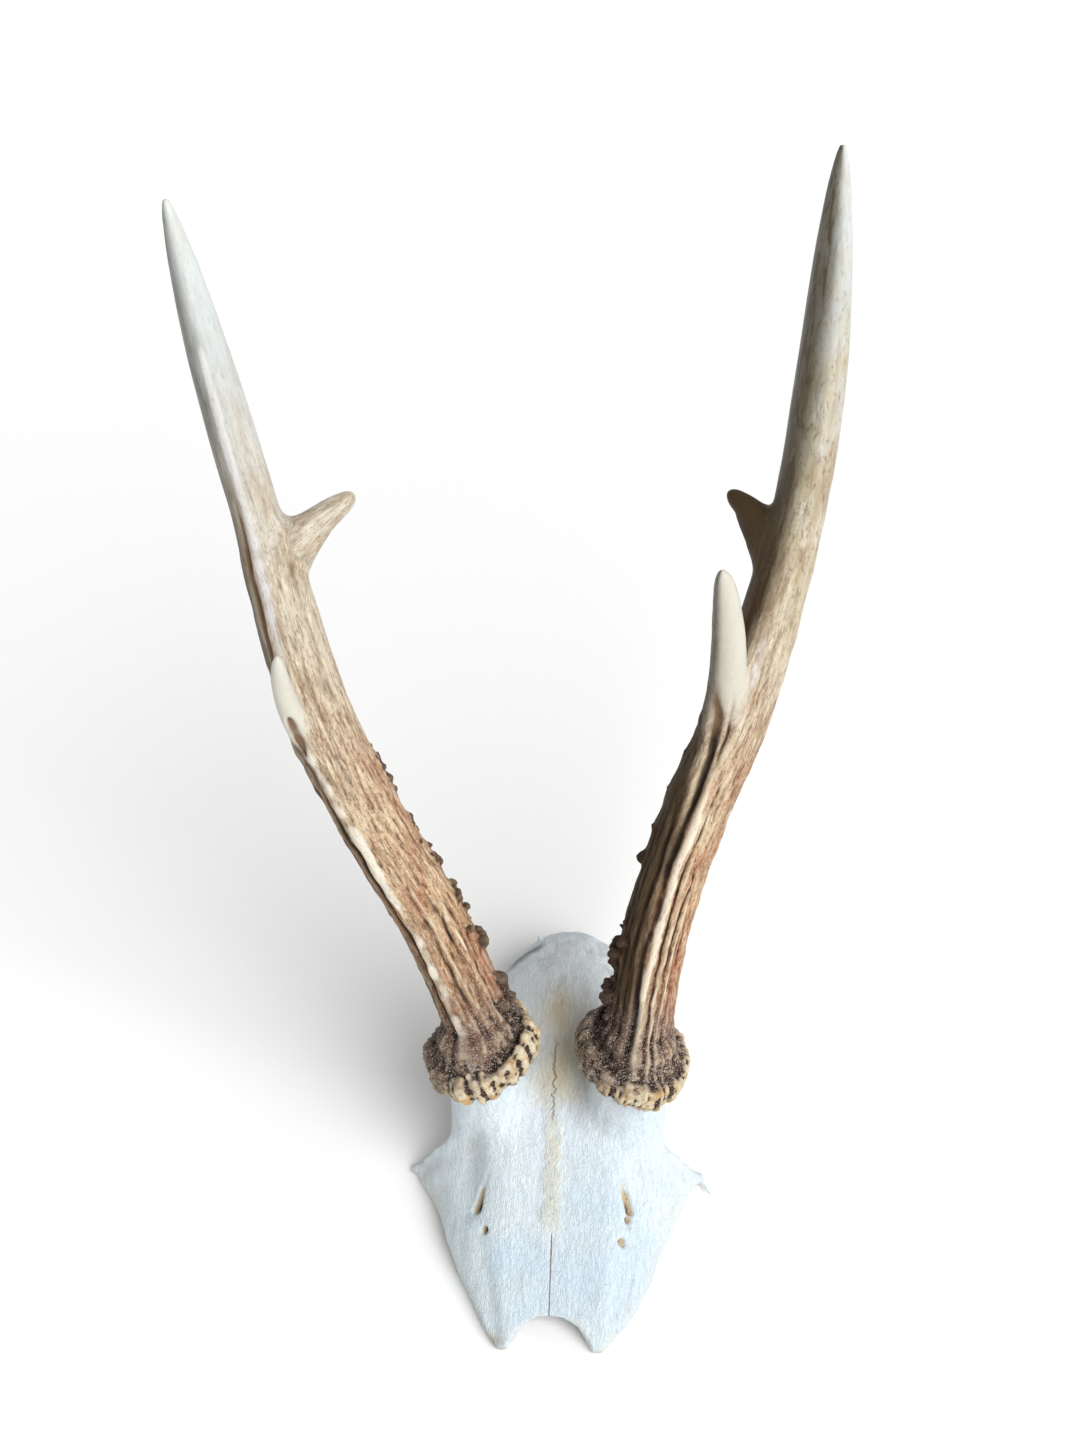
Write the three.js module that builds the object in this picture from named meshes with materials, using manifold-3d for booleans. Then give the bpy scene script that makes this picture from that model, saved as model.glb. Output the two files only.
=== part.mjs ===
// The skull cap of an adult roe buck (Capreolus capreolus) with both six-point antlers, life size.
//
// Units are millimetres. X runs to the right of someone facing the forehead, Y runs back from the nose end
// and Z runs up from the saw cut that the cap rests on. All shapes are worked out in the skull's own frame,
// where the mid line is x = 0 and the front notch is y = 0, and the finished group is moved so that the origin
// is the bottom centre of the whole.
//
// Each solid is a three.js box, cylinder or sphere whose vertices are moved by a function of the place on it.
// manifold-3d joins the relief to the bones and makes the thin cuts between the named parts.

import * as THREE from 'three';
import { mergeVertices } from 'three/addons/utils/BufferGeometryUtils.js';
import Module from 'manifold-3d';

const wasm = await Module();
wasm.setup();

// ---------------------------------------------------------------------------------------------
// Driving dimensions
// ---------------------------------------------------------------------------------------------

const GAP = 0.3;                    // between neighbouring parts
const CENTRE = [-12.9, 83.7];       // x and y of the middle of the whole, in the skull's own frame

// Skull cap
const FRONT_END = -8;               // the two points beside the notch
const BACK_END = 128;               // back of the occiput
const NOTCH_HEIGHT = 6.5;           // forehead above the saw cut at the notch
const FOREHEAD_SLOPE = 0.43;
const NOTCH_RADIUS = 12.8;
const POINT_HALF_WIDTH = 14;        // half of the cap's width at its front end
const BROW_HALF_WIDTH = 30;         // half of the width above the eye sockets
const BROW_FLARE = { at: 47, width: 14, front: 15, back: 2.2 };   // the process behind the eye
const BROW_LENGTH = 16;             // how soon the cap reaches that width behind its points
const LEFT_STEP = { at: 6, length: 9, width: -1.9 };        // the left front margin is cut further in
const RIGHT_SWELL = { at: 24, length: 13, width: 1.6 };    // and the right one is left wider
const WALL_HALF_WIDTH = 28;         // half of the width behind the brows
const TEMPLE_SWELL = 2.5;           // the braincase is this much wider on each side
const FLAT_HALF_WIDTH = 14;         // the forehead falls away to the sides past this
const SIDE_FALL = 0.12;
const SIDE_FALL_POWER = 1.6;
const DOME = { centre: 78, halfLength: 49.4, height: 36.2, power: 2.1, rim: 1.2 };
const OCCIPUT = { start: 82, end: 129, power: 1.6, root: 0.6 };
const DOME_START = 50;              // the forehead's section turns into the dome's between these
const DOME_END = 68;
const BROW_PROCESS = { root: [31, 43, 5], tip: [42.8, 47, 1.5], rootRadius: 5, tipRadius: 1.1 };
const BRAIN = { centre: [0, 86, 0], radii: [26.5, 37, 31.5] };
const ORBIT = { centre: [41, 22, -7], radii: [20, 17, 13] };
const NASAL = { centre: [0, 16, -4], radii: [15, 20, 12.5] };
const BROW_SLOT = { centre: [20.5, 33, 19.5], radii: [1.5, 4.6, 3.0] };
const BREGMA = 68;                  // seam between the frontal bones and the parietal bone
const LAMBDA = 112;                 // seam between the parietal bone and the occipital bone
const PEDICLE = { root: [17.5, 54, 14], rootRadius: 14, neckRadius: 10.8 };

// Coronets
const CORONET = { radius: 17, thickness: 9, lobes: 20, lobeDepth: 1.1, waist: 0.84 };
const CORONET_NORMAL = [0.26, 0.15, 0.95];     // of the right one, mirrored in x for the left one

// Antlers: the beam's middle line from the coronet to the tip, and where its tines spring from
const LEFT = {
  name: 'left',
  side: -1,
  coronet: [-21.5, 61.5, 46.5],
  line: [[-18.5, 61.5, 44], [-33.9, 80.5, 77], [-53, 98.5, 107.5], [-66.5, 115, 134], [-78.3, 139.5, 169.5],
    [-87, 154, 209], [-96, 170.5, 254.5]],
  lowerRadius: 9.3,
  rearForkRadius: 8.5,
  upperRadius: 6.4,
  frontTine: {
    at: 0.4,
    path: [[-60.5, 100.5, 112.5], [-73.5, 106.5, 137], [-72.4, 109, 158]],
    radius: 4.4,
    tipRadius: 1.4,
    fullness: 1.8,
  },
  rearTine: {
    at: 0.62,
    path: [[-76, 136.5, 166.5], [-65, 143, 172.5], [-55, 151.5, 175]],
    radius: 7.2,
    tipRadius: 2.3,
    fullness: 0.9,
  },
};
const RIGHT = {
  name: 'right',
  side: 1,
  coronet: [21.6, 61, 46.5],
  line: [[21.5, 60.5, 44], [27.1, 80.5, 79.5], [36.9, 98.5, 110.5], [48.6, 115, 137], [59.8, 139.5, 172.5],
    [64.5, 155, 213], [66.3, 174.7, 268.5]],
  lowerRadius: 8.9,
  rearForkRadius: 7.8,
  upperRadius: 6.9,
  frontTine: {
    at: 0.42,
    path: [[40.6, 107, 122], [47, 112.5, 151.5], [41, 116, 185.5]],
    radius: 6.2,
    tipRadius: 2.7,
    fullness: 1.8,
  },
  rearTine: {
    at: 0.6,
    path: [[59.5, 138.5, 171.5], [51, 144.5, 176], [43, 151.7, 178]],
    radius: 6.8,
    tipRadius: 2.0,
    fullness: 0.9,
  },
};
const RIDGES = 7;                   // lengthwise ridges round the lower beam
const RIDGE_DEPTH = 0.055;
const TIP_RADIUS = 0.8;
const TINE_FLARE = 0.12;            // a tine's root is this much of its radius wider
const PEARLS = { count: 11, start: 0.05, step: 0.027, radius: 2.1 };

// ---------------------------------------------------------------------------------------------
// Closed solids, joins and cuts
// ---------------------------------------------------------------------------------------------

function toSolid(geometry) {
  const bare = geometry.clone();
  bare.deleteAttribute('normal');
  bare.deleteAttribute('uv');
  const merged = mergeVertices(bare, 1e-5);
  const mesh = new wasm.Mesh({
    numProp: 3,
    vertProperties: new Float32Array(merged.attributes.position.array),
    triVerts: new Uint32Array(merged.index.array),
  });
  return new wasm.Manifold(mesh);
}

function toGeometry(solid) {
  const mesh = solid.getMesh();
  const geometry = new THREE.BufferGeometry();
  geometry.setAttribute('position', new THREE.BufferAttribute(new Float32Array(mesh.vertProperties), 3));
  geometry.setIndex(new THREE.BufferAttribute(new Uint32Array(mesh.triVerts), 1));
  geometry.computeVertexNormals();
  return geometry;
}

// Moves every vertex of a geometry to the place that the function gives for it.
function reshape(geometry, place) {
  const position = geometry.attributes.position;
  const vertex = new THREE.Vector3();
  for (let i = 0; i < position.count; i += 1) {
    vertex.fromBufferAttribute(position, i);
    place(vertex);
    position.setXYZ(i, vertex.x, vertex.y, vertex.z);
  }
  return geometry;
}

function ellipsoid(centre, radii, segments) {
  const ball = new THREE.SphereGeometry(1, segments, segments / 2);
  ball.rotateX(Math.PI / 2);
  ball.scale(...radii);
  ball.translate(...centre);
  return toSolid(ball);
}

// Everything on the far side of a plane, as a big block whose one face lies on it.
function halfSpace(point, normal) {
  const size = 600;
  const block = new THREE.BoxGeometry(size, size, size);
  block.translate(0, 0, size / 2);
  const turn = new THREE.Quaternion().setFromUnitVectors(new THREE.Vector3(0, 0, 1), normal);
  block.applyQuaternion(turn);
  block.translate(point.x, point.y, point.z);
  return toSolid(block);
}

// The part of a solid behind a plane, kept clear of the plane by half of the gap between parts.
function behind(solid, point, normal) {
  const clear = point.clone().addScaledVector(normal, -GAP / 2);
  return solid.subtract(halfSpace(clear, normal));
}

function smoothStep(from, to, value) {
  return THREE.MathUtils.smoothstep(value, from, to);
}

// ---------------------------------------------------------------------------------------------
// Skull cap
// ---------------------------------------------------------------------------------------------

// Height of the mid line: the straight forehead runs into the dome with a rounded corner.
function crestHeight(y) {
  const forehead = NOTCH_HEIGHT + FOREHEAD_SLOPE * y;
  const along = Math.max(0, y - DOME.centre) / DOME.halfLength;
  const dome = DOME.height * Math.sqrt(Math.max(0, 1 - along * along));
  const softness = 2.2;
  return -softness * Math.log(Math.exp(-forehead / softness) + Math.exp(-dome / softness));
}

// Half of the cap's width: it widens fast from the front points, flares to the processes behind the eyes, is
// narrower along the temples and rounds off at the occiput.
function halfWidth(y) {
  const widening = 1 - Math.exp(-(y - FRONT_END) / BROW_LENGTH);
  const ahead = Math.min(0, y - BROW_FLARE.at) / BROW_FLARE.front;
  const behindFlare = Math.max(0, y - BROW_FLARE.at) / BROW_FLARE.back;
  const brow = POINT_HALF_WIDTH + (BROW_HALF_WIDTH - POINT_HALF_WIDTH) * widening
    + BROW_FLARE.width * Math.exp(ahead);
  const temple = WALL_HALF_WIDTH + TEMPLE_SWELL * smoothStep(66, 90, y);
  const width = THREE.MathUtils.lerp(temple, brow, Math.exp(-behindFlare));
  const closing = Math.max(0, y - OCCIPUT.start) / (OCCIPUT.end - OCCIPUT.start);
  return width * (1 - closing ** OCCIPUT.power) ** OCCIPUT.root;
}

// Height of the outer surface at a share of the half width (0 on the mid line, 1 at the edge).
function outerHeight(y, share) {
  const crest = Math.max(DOME.rim, crestHeight(y));
  const x = share * halfWidth(y);
  const plate = crest - SIDE_FALL * Math.max(0, x - FLAT_HALF_WIDTH) ** SIDE_FALL_POWER;
  const dome = DOME.rim + (crest - DOME.rim) * (1 - share ** DOME.power) ** (1 / DOME.power);
  return Math.max(DOME.rim, THREE.MathUtils.lerp(plate, dome, smoothStep(DOME_START, DOME_END, y)));
}

// Shift in x of a place at a share of the half width, where one side's margin differs from the other's.
function marginShift(y, share) {
  const { at, length, width } = share < 0 ? LEFT_STEP : RIGHT_SWELL;
  return share * width * Math.exp(-(((y - at) / length) ** 2));
}

function capBlock() {
  const block = new THREE.BoxGeometry(2, 1, 1, 14, 30, 1);
  reshape(block, (v) => {
    const along = v.y + 0.5;
    const eased = along - 0.06 * Math.sin(2 * Math.PI * along);
    const y = THREE.MathUtils.lerp(FRONT_END, BACK_END, eased);
    const share = Math.sin(v.x * Math.PI / 2);
    v.z = v.z > 0 ? outerHeight(y, Math.min(1, Math.abs(share))) : 0;
    v.x = share * halfWidth(y) + marginShift(y, share);
    v.y = y;
  });
  return toSolid(block);
}

function frontNotch() {
  const drill = new THREE.CylinderGeometry(NOTCH_RADIUS, NOTCH_RADIUS, 60, 40);
  drill.rotateX(Math.PI / 2);
  drill.translate(0, -NOTCH_RADIUS, 0);
  return toSolid(drill);
}

// The stump of the process behind the eye, sawn through level with the cap's edge.
function browProcess(side) {
  const { root, tip, rootRadius, tipRadius } = BROW_PROCESS;
  const from = new THREE.Vector3(side * root[0], root[1], root[2]);
  const to = new THREE.Vector3(side * tip[0], tip[1], tip[2]);
  const spike = new THREE.CylinderGeometry(tipRadius, rootRadius, from.distanceTo(to), 14, 3);
  spike.scale(1, 1, 0.75);
  const direction = to.clone().sub(from).normalize();
  const turn = new THREE.Quaternion().setFromUnitVectors(new THREE.Vector3(0, 1, 0), direction);
  spike.applyQuaternion(turn);
  const middle = from.clone().add(to).multiplyScalar(0.5);
  spike.translate(middle.x, middle.y, middle.z);
  const floor = halfSpace(new THREE.Vector3(0, 0, 0), new THREE.Vector3(0, 0, -1));
  return toSolid(spike).subtract(floor);
}

function pedicle(antler, frame) {
  const root = new THREE.Vector3(antler.side * PEDICLE.root[0], PEDICLE.root[1], PEDICLE.root[2]);
  const top = frame.centre.clone();
  const tube = new THREE.CylinderGeometry(1, 1, 1, 20, 5);
  reshape(tube, (v) => {
    const along = v.y + 0.5;
    const flare = (1 - along) ** 2;
    const radius = PEDICLE.neckRadius + (PEDICLE.rootRadius - PEDICLE.neckRadius) * flare;
    const centre = root.clone().lerp(top, along);
    v.set(centre.x + v.x * radius, centre.y - v.z * radius, centre.z);
  });
  const bottom = frame.centre.clone().addScaledVector(frame.normal, -CORONET.thickness / 2 - GAP / 2);
  return behind(toSolid(tube), bottom, frame.normal);
}

function skullParts(frames) {
  let cap = capBlock().subtract(frontNotch());
  for (const side of [-1, 1]) {
    cap = cap.add(browProcess(side));
    const [x, y, z] = ORBIT.centre;
    cap = cap.subtract(ellipsoid([side * x, y, z], ORBIT.radii, 16));
  }
  cap = cap.add(pedicle(LEFT, frames.left));
  cap = cap.add(pedicle(RIGHT, frames.right));
  cap = cap.subtract(ellipsoid(BRAIN.centre, BRAIN.radii, 18));
  cap = cap.subtract(ellipsoid(NASAL.centre, NASAL.radii, 12));
  for (const side of [-1, 1]) {
    const [x, y, z] = BROW_SLOT.centre;
    cap = cap.subtract(ellipsoid([side * x, y, z], BROW_SLOT.radii, 8));
  }
  const middle = new THREE.Vector3(0, 0, 0);
  const toRight = new THREE.Vector3(1, 0, 0);
  const toLeft = new THREE.Vector3(-1, 0, 0);
  const toBack = new THREE.Vector3(0, 1, 0);
  const toFront = new THREE.Vector3(0, -1, 0);
  const bregma = new THREE.Vector3(0, BREGMA, 0);
  const lambda = new THREE.Vector3(0, LAMBDA, 0);
  const frontals = behind(cap, bregma, toBack);
  return {
    frontal_left: behind(frontals, middle, toRight),
    frontal_right: behind(frontals, middle, toLeft),
    parietal: behind(behind(cap, bregma, toFront), lambda, toBack),
    occipital: behind(cap, lambda, toFront),
  };
}

// ---------------------------------------------------------------------------------------------
// Antlers
// ---------------------------------------------------------------------------------------------

function toVector([x, y, z]) {
  return new THREE.Vector3(x, y, z);
}

function coronetFrame(antler) {
  const [x, y, z] = CORONET_NORMAL;
  return {
    centre: toVector(antler.coronet),
    normal: new THREE.Vector3(antler.side * x, y, z).normalize(),
  };
}

// A beaded ring: its radius swells in the middle of its thickness and waves once for each lobe.
function coronet(frame) {
  const ring = new THREE.CylinderGeometry(1, 1, 1, CORONET.lobes * 3, 3);
  reshape(ring, (v) => {
    const angle = Math.atan2(v.z, v.x);
    const swell = CORONET.waist + (1 - CORONET.waist) * Math.cos(v.y * Math.PI) ** 0.7;
    const lobe = CORONET.lobeDepth * Math.cos(CORONET.lobes * angle);
    const share = Math.hypot(v.x, v.z);
    const radius = share * (CORONET.radius * swell + lobe);
    v.set(Math.cos(angle) * radius, v.y * CORONET.thickness, Math.sin(angle) * radius);
  });
  const turn = new THREE.Quaternion().setFromUnitVectors(new THREE.Vector3(0, 1, 0), frame.normal);
  ring.applyQuaternion(turn);
  ring.translate(frame.centre.x, frame.centre.y, frame.centre.z);
  return toSolid(ring);
}

function beamLine(antler) {
  const line = new THREE.CatmullRomCurve3(antler.line.map(toVector), false, 'catmullrom', 0.5);
  line.arcLengthDivisions = 400;
  return line;
}

// Radius of the beam at a share of its length, before the ridges.
function beamRadius(antler, along) {
  const { lowerRadius, rearForkRadius, upperRadius } = antler;
  const rearFork = antler.rearTine.at;
  const lower = THREE.MathUtils.lerp(lowerRadius, rearForkRadius, smoothStep(0.3, rearFork, along));
  const rest = Math.max(0, along - rearFork) / (1 - rearFork);
  const upper = TIP_RADIUS + (upperRadius - TIP_RADIUS) * (1 - rest ** 2.8) ** 0.8;
  return THREE.MathUtils.lerp(lower, upper, smoothStep(rearFork - 0.03, rearFork + 0.06, along));
}

// Bends a cylinder along a curve. Its rings stay square to the curve, and side 0 of each faces forward.
function bendAlong(curve, rings, sides, radiusAt) {
  const tube = new THREE.CylinderGeometry(1, 1, 1, sides, rings);
  const forward = new THREE.Vector3(0, -1, 0);
  return reshape(tube, (v) => {
    const along = v.y + 0.5;
    const share = Math.hypot(v.x, v.z);
    const angle = Math.atan2(v.x, v.z);
    const tangent = curve.getTangentAt(along);
    const across = new THREE.Vector3().crossVectors(tangent, forward).normalize();
    const front = new THREE.Vector3().crossVectors(across, tangent);
    const radius = share * radiusAt(along, angle);
    v.copy(curve.getPointAt(along));
    v.addScaledVector(front, Math.cos(angle) * radius);
    v.addScaledVector(across, Math.sin(angle) * radius);
  });
}

// Lengthwise ridges on the lower beam, which fade out above the front fork.
function ridge(along, angle) {
  const fade = 1 - smoothStep(0.3, 0.5, along);
  return 1 + RIDGE_DEPTH * fade * Math.cos(RIDGES * (angle + 1.5 * along));
}

function beam(antler, clearance = 0) {
  return toSolid(bendAlong(beamLine(antler), 30, RIDGES * 3, (along, angle) => (
    clearance + beamRadius(antler, along) * ridge(along, angle)
  )));
}

// A tine is fattest at its root, which starts inside the beam.
function tine({ path, radius, tipRadius, fullness }) {
  const curve = new THREE.QuadraticBezierCurve3(...path.map(toVector));
  return toSolid(bendAlong(curve, 9, 10, (along) => {
    const body = tipRadius + (radius - tipRadius) * (1 - along ** fullness);
    const root = TINE_FLARE * radius * (1 - along) ** 4;
    const rounding = Math.sqrt(1 - along ** 16);
    return Math.max(TIP_RADIUS / 2, (body + root) * rounding);
  }));
}

// Bony beads on the inner side of the lower beam, in two staggered rows.
function pearls(antler) {
  const curve = beamLine(antler);
  const inward = new THREE.Vector3(-antler.side, 0, 0);
  const beads = [];
  for (let i = 0; i < PEARLS.count; i += 1) {
    const along = PEARLS.start + i * PEARLS.step;
    const tangent = curve.getTangentAt(along);
    const turn = 0.35 + 0.75 * Math.sin(2.4 * i);
    const out = inward.clone().addScaledVector(tangent, -inward.dot(tangent)).normalize();
    out.applyAxisAngle(tangent, -antler.side * turn);
    const size = PEARLS.radius * (1 - 0.5 * i / PEARLS.count);
    const bead = new THREE.OctahedronGeometry(size, 1);
    const centre = curve.getPointAt(along).addScaledVector(out, beamRadius(antler, along) + 0.2 * size);
    bead.translate(centre.x, centre.y, centre.z);
    beads.push(toSolid(bead));
  }
  return beads;
}

function antlerParts(antler, frame) {
  const curve = beamLine(antler);
  const cut = (along) => ({ point: curve.getPointAt(along), normal: curve.getTangentAt(along) });
  const frontFork = cut(antler.frontTine.at);
  const rearFork = cut(antler.rearTine.at);
  const coronetTop = frame.centre.clone().addScaledVector(frame.normal, CORONET.thickness / 2 + GAP / 2);

  let whole = beam(antler);
  for (const bead of pearls(antler)) {
    whole = whole.add(bead);
  }
  whole = behind(whole, coronetTop, frame.normal.clone().negate());
  const aboveFront = behind(whole, frontFork.point, frontFork.normal.clone().negate());
  const clearBeam = beam(antler, GAP);
  const part = (name) => `${name}_${antler.name}`;
  return {
    [part('coronet')]: coronet(frame),
    [part('lower_beam')]: behind(whole, frontFork.point, frontFork.normal),
    [part('front_tine')]: tine(antler.frontTine).subtract(clearBeam),
    [part('middle_beam')]: behind(aboveFront, rearFork.point, rearFork.normal),
    [part('rear_tine')]: tine(antler.rearTine).subtract(clearBeam),
    [part('upper_beam')]: behind(whole, rearFork.point, rearFork.normal.clone().negate()),
  };
}

// ---------------------------------------------------------------------------------------------
// Materials and the finished group
// ---------------------------------------------------------------------------------------------

function boneMaterial() {
  return new THREE.MeshStandardMaterial({ color: 0xd5dcdf, roughness: 0.62, metalness: 0 });
}

function burrMaterial() {
  return new THREE.MeshStandardMaterial({ color: 0x8d7356, roughness: 0.7, metalness: 0 });
}

function lowerAntlerMaterial() {
  return new THREE.MeshStandardMaterial({ color: 0xa98a6d, roughness: 0.6, metalness: 0 });
}

function upperAntlerMaterial() {
  return new THREE.MeshStandardMaterial({ color: 0xc9c4b4, roughness: 0.45, metalness: 0 });
}

function materialOf(name) {
  if (name.startsWith('coronet')) {
    return burrMaterial();
  }
  if (name.startsWith('lower_beam')) {
    return lowerAntlerMaterial();
  }
  if (name.includes('beam') || name.includes('tine')) {
    return upperAntlerMaterial();
  }
  return boneMaterial();
}

const frames = { left: coronetFrame(LEFT), right: coronetFrame(RIGHT) };
const solids = {
  ...skullParts(frames),
  ...antlerParts(LEFT, frames.left),
  ...antlerParts(RIGHT, frames.right),
};

const skullCap = new THREE.Group();
for (const [name, solid] of Object.entries(solids)) {
  const mesh = new THREE.Mesh(toGeometry(solid), materialOf(name));
  mesh.name = name;
  skullCap.add(mesh);
}
skullCap.position.set(-CENTRE[0], -CENTRE[1], 0);

export default skullCap;
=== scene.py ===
"""A roe buck's skull cap with both antlers, life size, lying on its saw cut.

Sizes are in millimetres in the skull's own frame, where the mid line is x = 0, the front notch is y = 0 and
the saw cut is z = 0. Each finished piece is moved to the frame of the whole, in metres, as its mesh is made.
"""

import math

import bpy
import numpy as np
from bpy.props import FloatProperty, FloatVectorProperty, PointerProperty
from mathutils import Matrix, Vector


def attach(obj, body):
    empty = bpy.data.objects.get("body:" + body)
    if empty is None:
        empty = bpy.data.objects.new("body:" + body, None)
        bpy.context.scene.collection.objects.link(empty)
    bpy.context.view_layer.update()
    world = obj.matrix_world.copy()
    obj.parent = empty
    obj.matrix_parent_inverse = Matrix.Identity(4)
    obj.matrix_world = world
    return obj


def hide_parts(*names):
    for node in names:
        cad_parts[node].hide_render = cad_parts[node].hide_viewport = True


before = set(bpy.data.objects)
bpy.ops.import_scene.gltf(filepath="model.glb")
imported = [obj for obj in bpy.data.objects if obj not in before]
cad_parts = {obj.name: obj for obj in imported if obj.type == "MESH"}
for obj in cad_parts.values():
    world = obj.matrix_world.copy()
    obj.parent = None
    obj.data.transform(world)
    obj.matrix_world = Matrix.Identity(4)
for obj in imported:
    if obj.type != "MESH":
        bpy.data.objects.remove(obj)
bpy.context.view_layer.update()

bl_info = {
    "name": "Roe buck skull cap",
    "version": (1, 0, 0),
    "blender": (4, 5, 0),
    "location": "3D View > Sidebar > Skull cap",
    "description": "Builds a roe buck's skull cap with its antlers, and the stage it is shown on",
    "category": "Add Mesh",
}

# ---- Sizes ----

MM = 0.001
CENTRE = np.array([-12.9, 83.7, 0.0])   # bottom centre of the whole, in the skull's own frame

# Skull cap
FRONT_END = -8.0
BACK_END = 128.0
NOTCH_HEIGHT = 6.5
FOREHEAD_SLOPE = 0.43
NOTCH_RADIUS = 12.8
POINT_HALF_WIDTH = 14.0
BROW_HALF_WIDTH = 30.0
BROW_FLARE = {"at": 47.0, "width": 14.0, "front": 15.0, "back": 2.2}
BROW_LENGTH = 16.0
WALL_HALF_WIDTH = 28.0
TEMPLE_SWELL = {"width": 2.5, "start": 66.0, "end": 90.0}
FLAT_HALF_WIDTH = 14.0
SIDE_FALL = 0.12
SIDE_FALL_POWER = 1.6
DOME = {"centre": 78.0, "half_length": 49.4, "height": 36.2, "power": 2.1, "rim": 1.2}
OCCIPUT = {"start": 82.0, "end": 129.0, "power": 1.6, "root": 0.6}
DOME_START = 50.0
DOME_END = 68.0
CREST_SOFTNESS = 2.2
LEFT_STEP = {"at": 6.0, "length": 9.0, "width": -1.9}        # the left front margin is cut further in
RIGHT_SWELL = {"at": 24.0, "length": 13.0, "width": 1.6}     # and the right one is left wider
DOME_SHIFT = {"x": 1.3, "start": 62.0, "end": 95.0}          # the dome stands a little to the right
BROW_PROCESS = {"root": (31.0, 43.0, 5.0), "tip": (42.8, 47.0, 1.5), "root_radius": 5.0, "tip_radius": 1.1}
SPUR = {"from": (42.3, 45.2, 1.7), "to": (45.2, 41.0, 1.2), "radius": 0.75, "tip_radius": 0.45}
KNOB = {"centre": (-8.2, 115.5, 21.2), "radii": (0.9, 0.9, 2.6)}     # on the left of the dome's back
MID_LINE = {"y": (-2.0, 21.0, 51.0, 68.0), "x": (-0.3, -0.3, -0.8, -1.2)}    # of the seam and the band
SEAM_X = 12.6                                                # the front seam, in the frame of the whole
HOLLOWS = [
    {"centre": (0.0, 86.0, 0.0), "radii": (26.5, 37.0, 31.5)},      # brain
    {"centre": (41.0, 22.0, -7.0), "radii": (20.0, 17.0, 13.0)},    # right eye socket
    {"centre": (-41.0, 22.0, -7.0), "radii": (20.0, 17.0, 13.0)},   # left eye socket
    {"centre": (0.0, 14.0, -4.0), "radii": (16.0, 24.0, 16.0)},     # nose
]
THINNEST_WALL = 1.3
PEDICLE = {"root": (17.5, 54.0, 14.0), "root_radius": 14.0, "neck_radius": 10.8, "top": 0.93}

# Slots and holes in the forehead: a line from one point to another, then its half width at each end and its
# depth at each end
FOREHEAD_PITS = [
    ((-18.9, 35.6), (-20.3, 32.6), 0.6, 0.8, 0.25, 0.4),
    ((-20.6, 31.9), (-22.1, 27.4), 0.85, 1.2, 0.9, 2.7),
    ((-19.5, 21.7), (-19.4, 21.4), 0.8, 0.8, 2.4, 2.4),
    ((18.7, 35.2), (20.4, 31.4), 0.6, 0.9, 0.3, 1.2),
    ((20.4, 31.6), (21.7, 27.6), 1.0, 1.0, 1.4, 2.8),
    ((21.15, 25.5), (21.15, 25.2), 0.75, 0.75, 2.4, 2.4),
    ((21.2, 23.7), (21.2, 23.6), 0.45, 0.45, 0.9, 0.9),
    ((19.5, 19.6), (20.0, 19.0), 0.9, 0.8, 2.2, 1.4),
]
HOLE_DEPTH = 2.4    # from here on a pit looks like a hole
DEEPEST = 3.0
# Shallow channels ahead of them and beside them, given in the same way
FOREHEAD_CHANNELS = [
    ((-20.5, 20.5), (-15.0, -7.0), 2.0, 2.2, 0.5, 1.0),
    ((21.0, 18.5), (17.0, -7.0), 2.6, 2.4, 0.55, 0.6),
    ((-25.0, 45.0), (-24.5, 28.0), 4.6, 3.0, 2.7, 0.8),
    ((24.0, 40.0), (23.0, 26.0), 3.0, 2.6, 0.7, 0.3),
]

# Heights of the cap's relief
CAP_RELIEF = {"band": 0.3, "seam": 0.28, "seam_lips": 0.12, "swellings": 0.22, "wrinkles": 0.11,
              "dome_wrinkles": 0.5, "pedicle_wrinkles": 0.22}

# Coronets
CORONET_NORMAL = (0.26, 0.15, 0.95)     # of the right one, mirrored in x for the left one
CORONET_MIDDLE = 12.4                   # the lobes swell away from a circle of this radius
NARROW_LOBES, WIDE_LOBES = 44, 20
LOBE_SWELL = 3.4
FRILL_SIDE = (1.0, -0.3, 0.0)
CORONET_BEADS = 18
DROP_LENGTH = 2.2

# Antlers
TIP_RADIUS = 0.8
TINE_FLARE = 0.12
BEAM_FOOT = {"height": 2.6, "length": 7.0}
BEAM_CORNERS = 0.035    # height of three rounded corners round the lower beam, as a share of its radius
ANTLER_RELIEF = {"ribs": 0.26, "upper_ribs": 0.14, "fine_ribs": 0.22, "wrinkles": 0.26, "fibres": 0.1,
                 "knobbles": 0.42}

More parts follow.
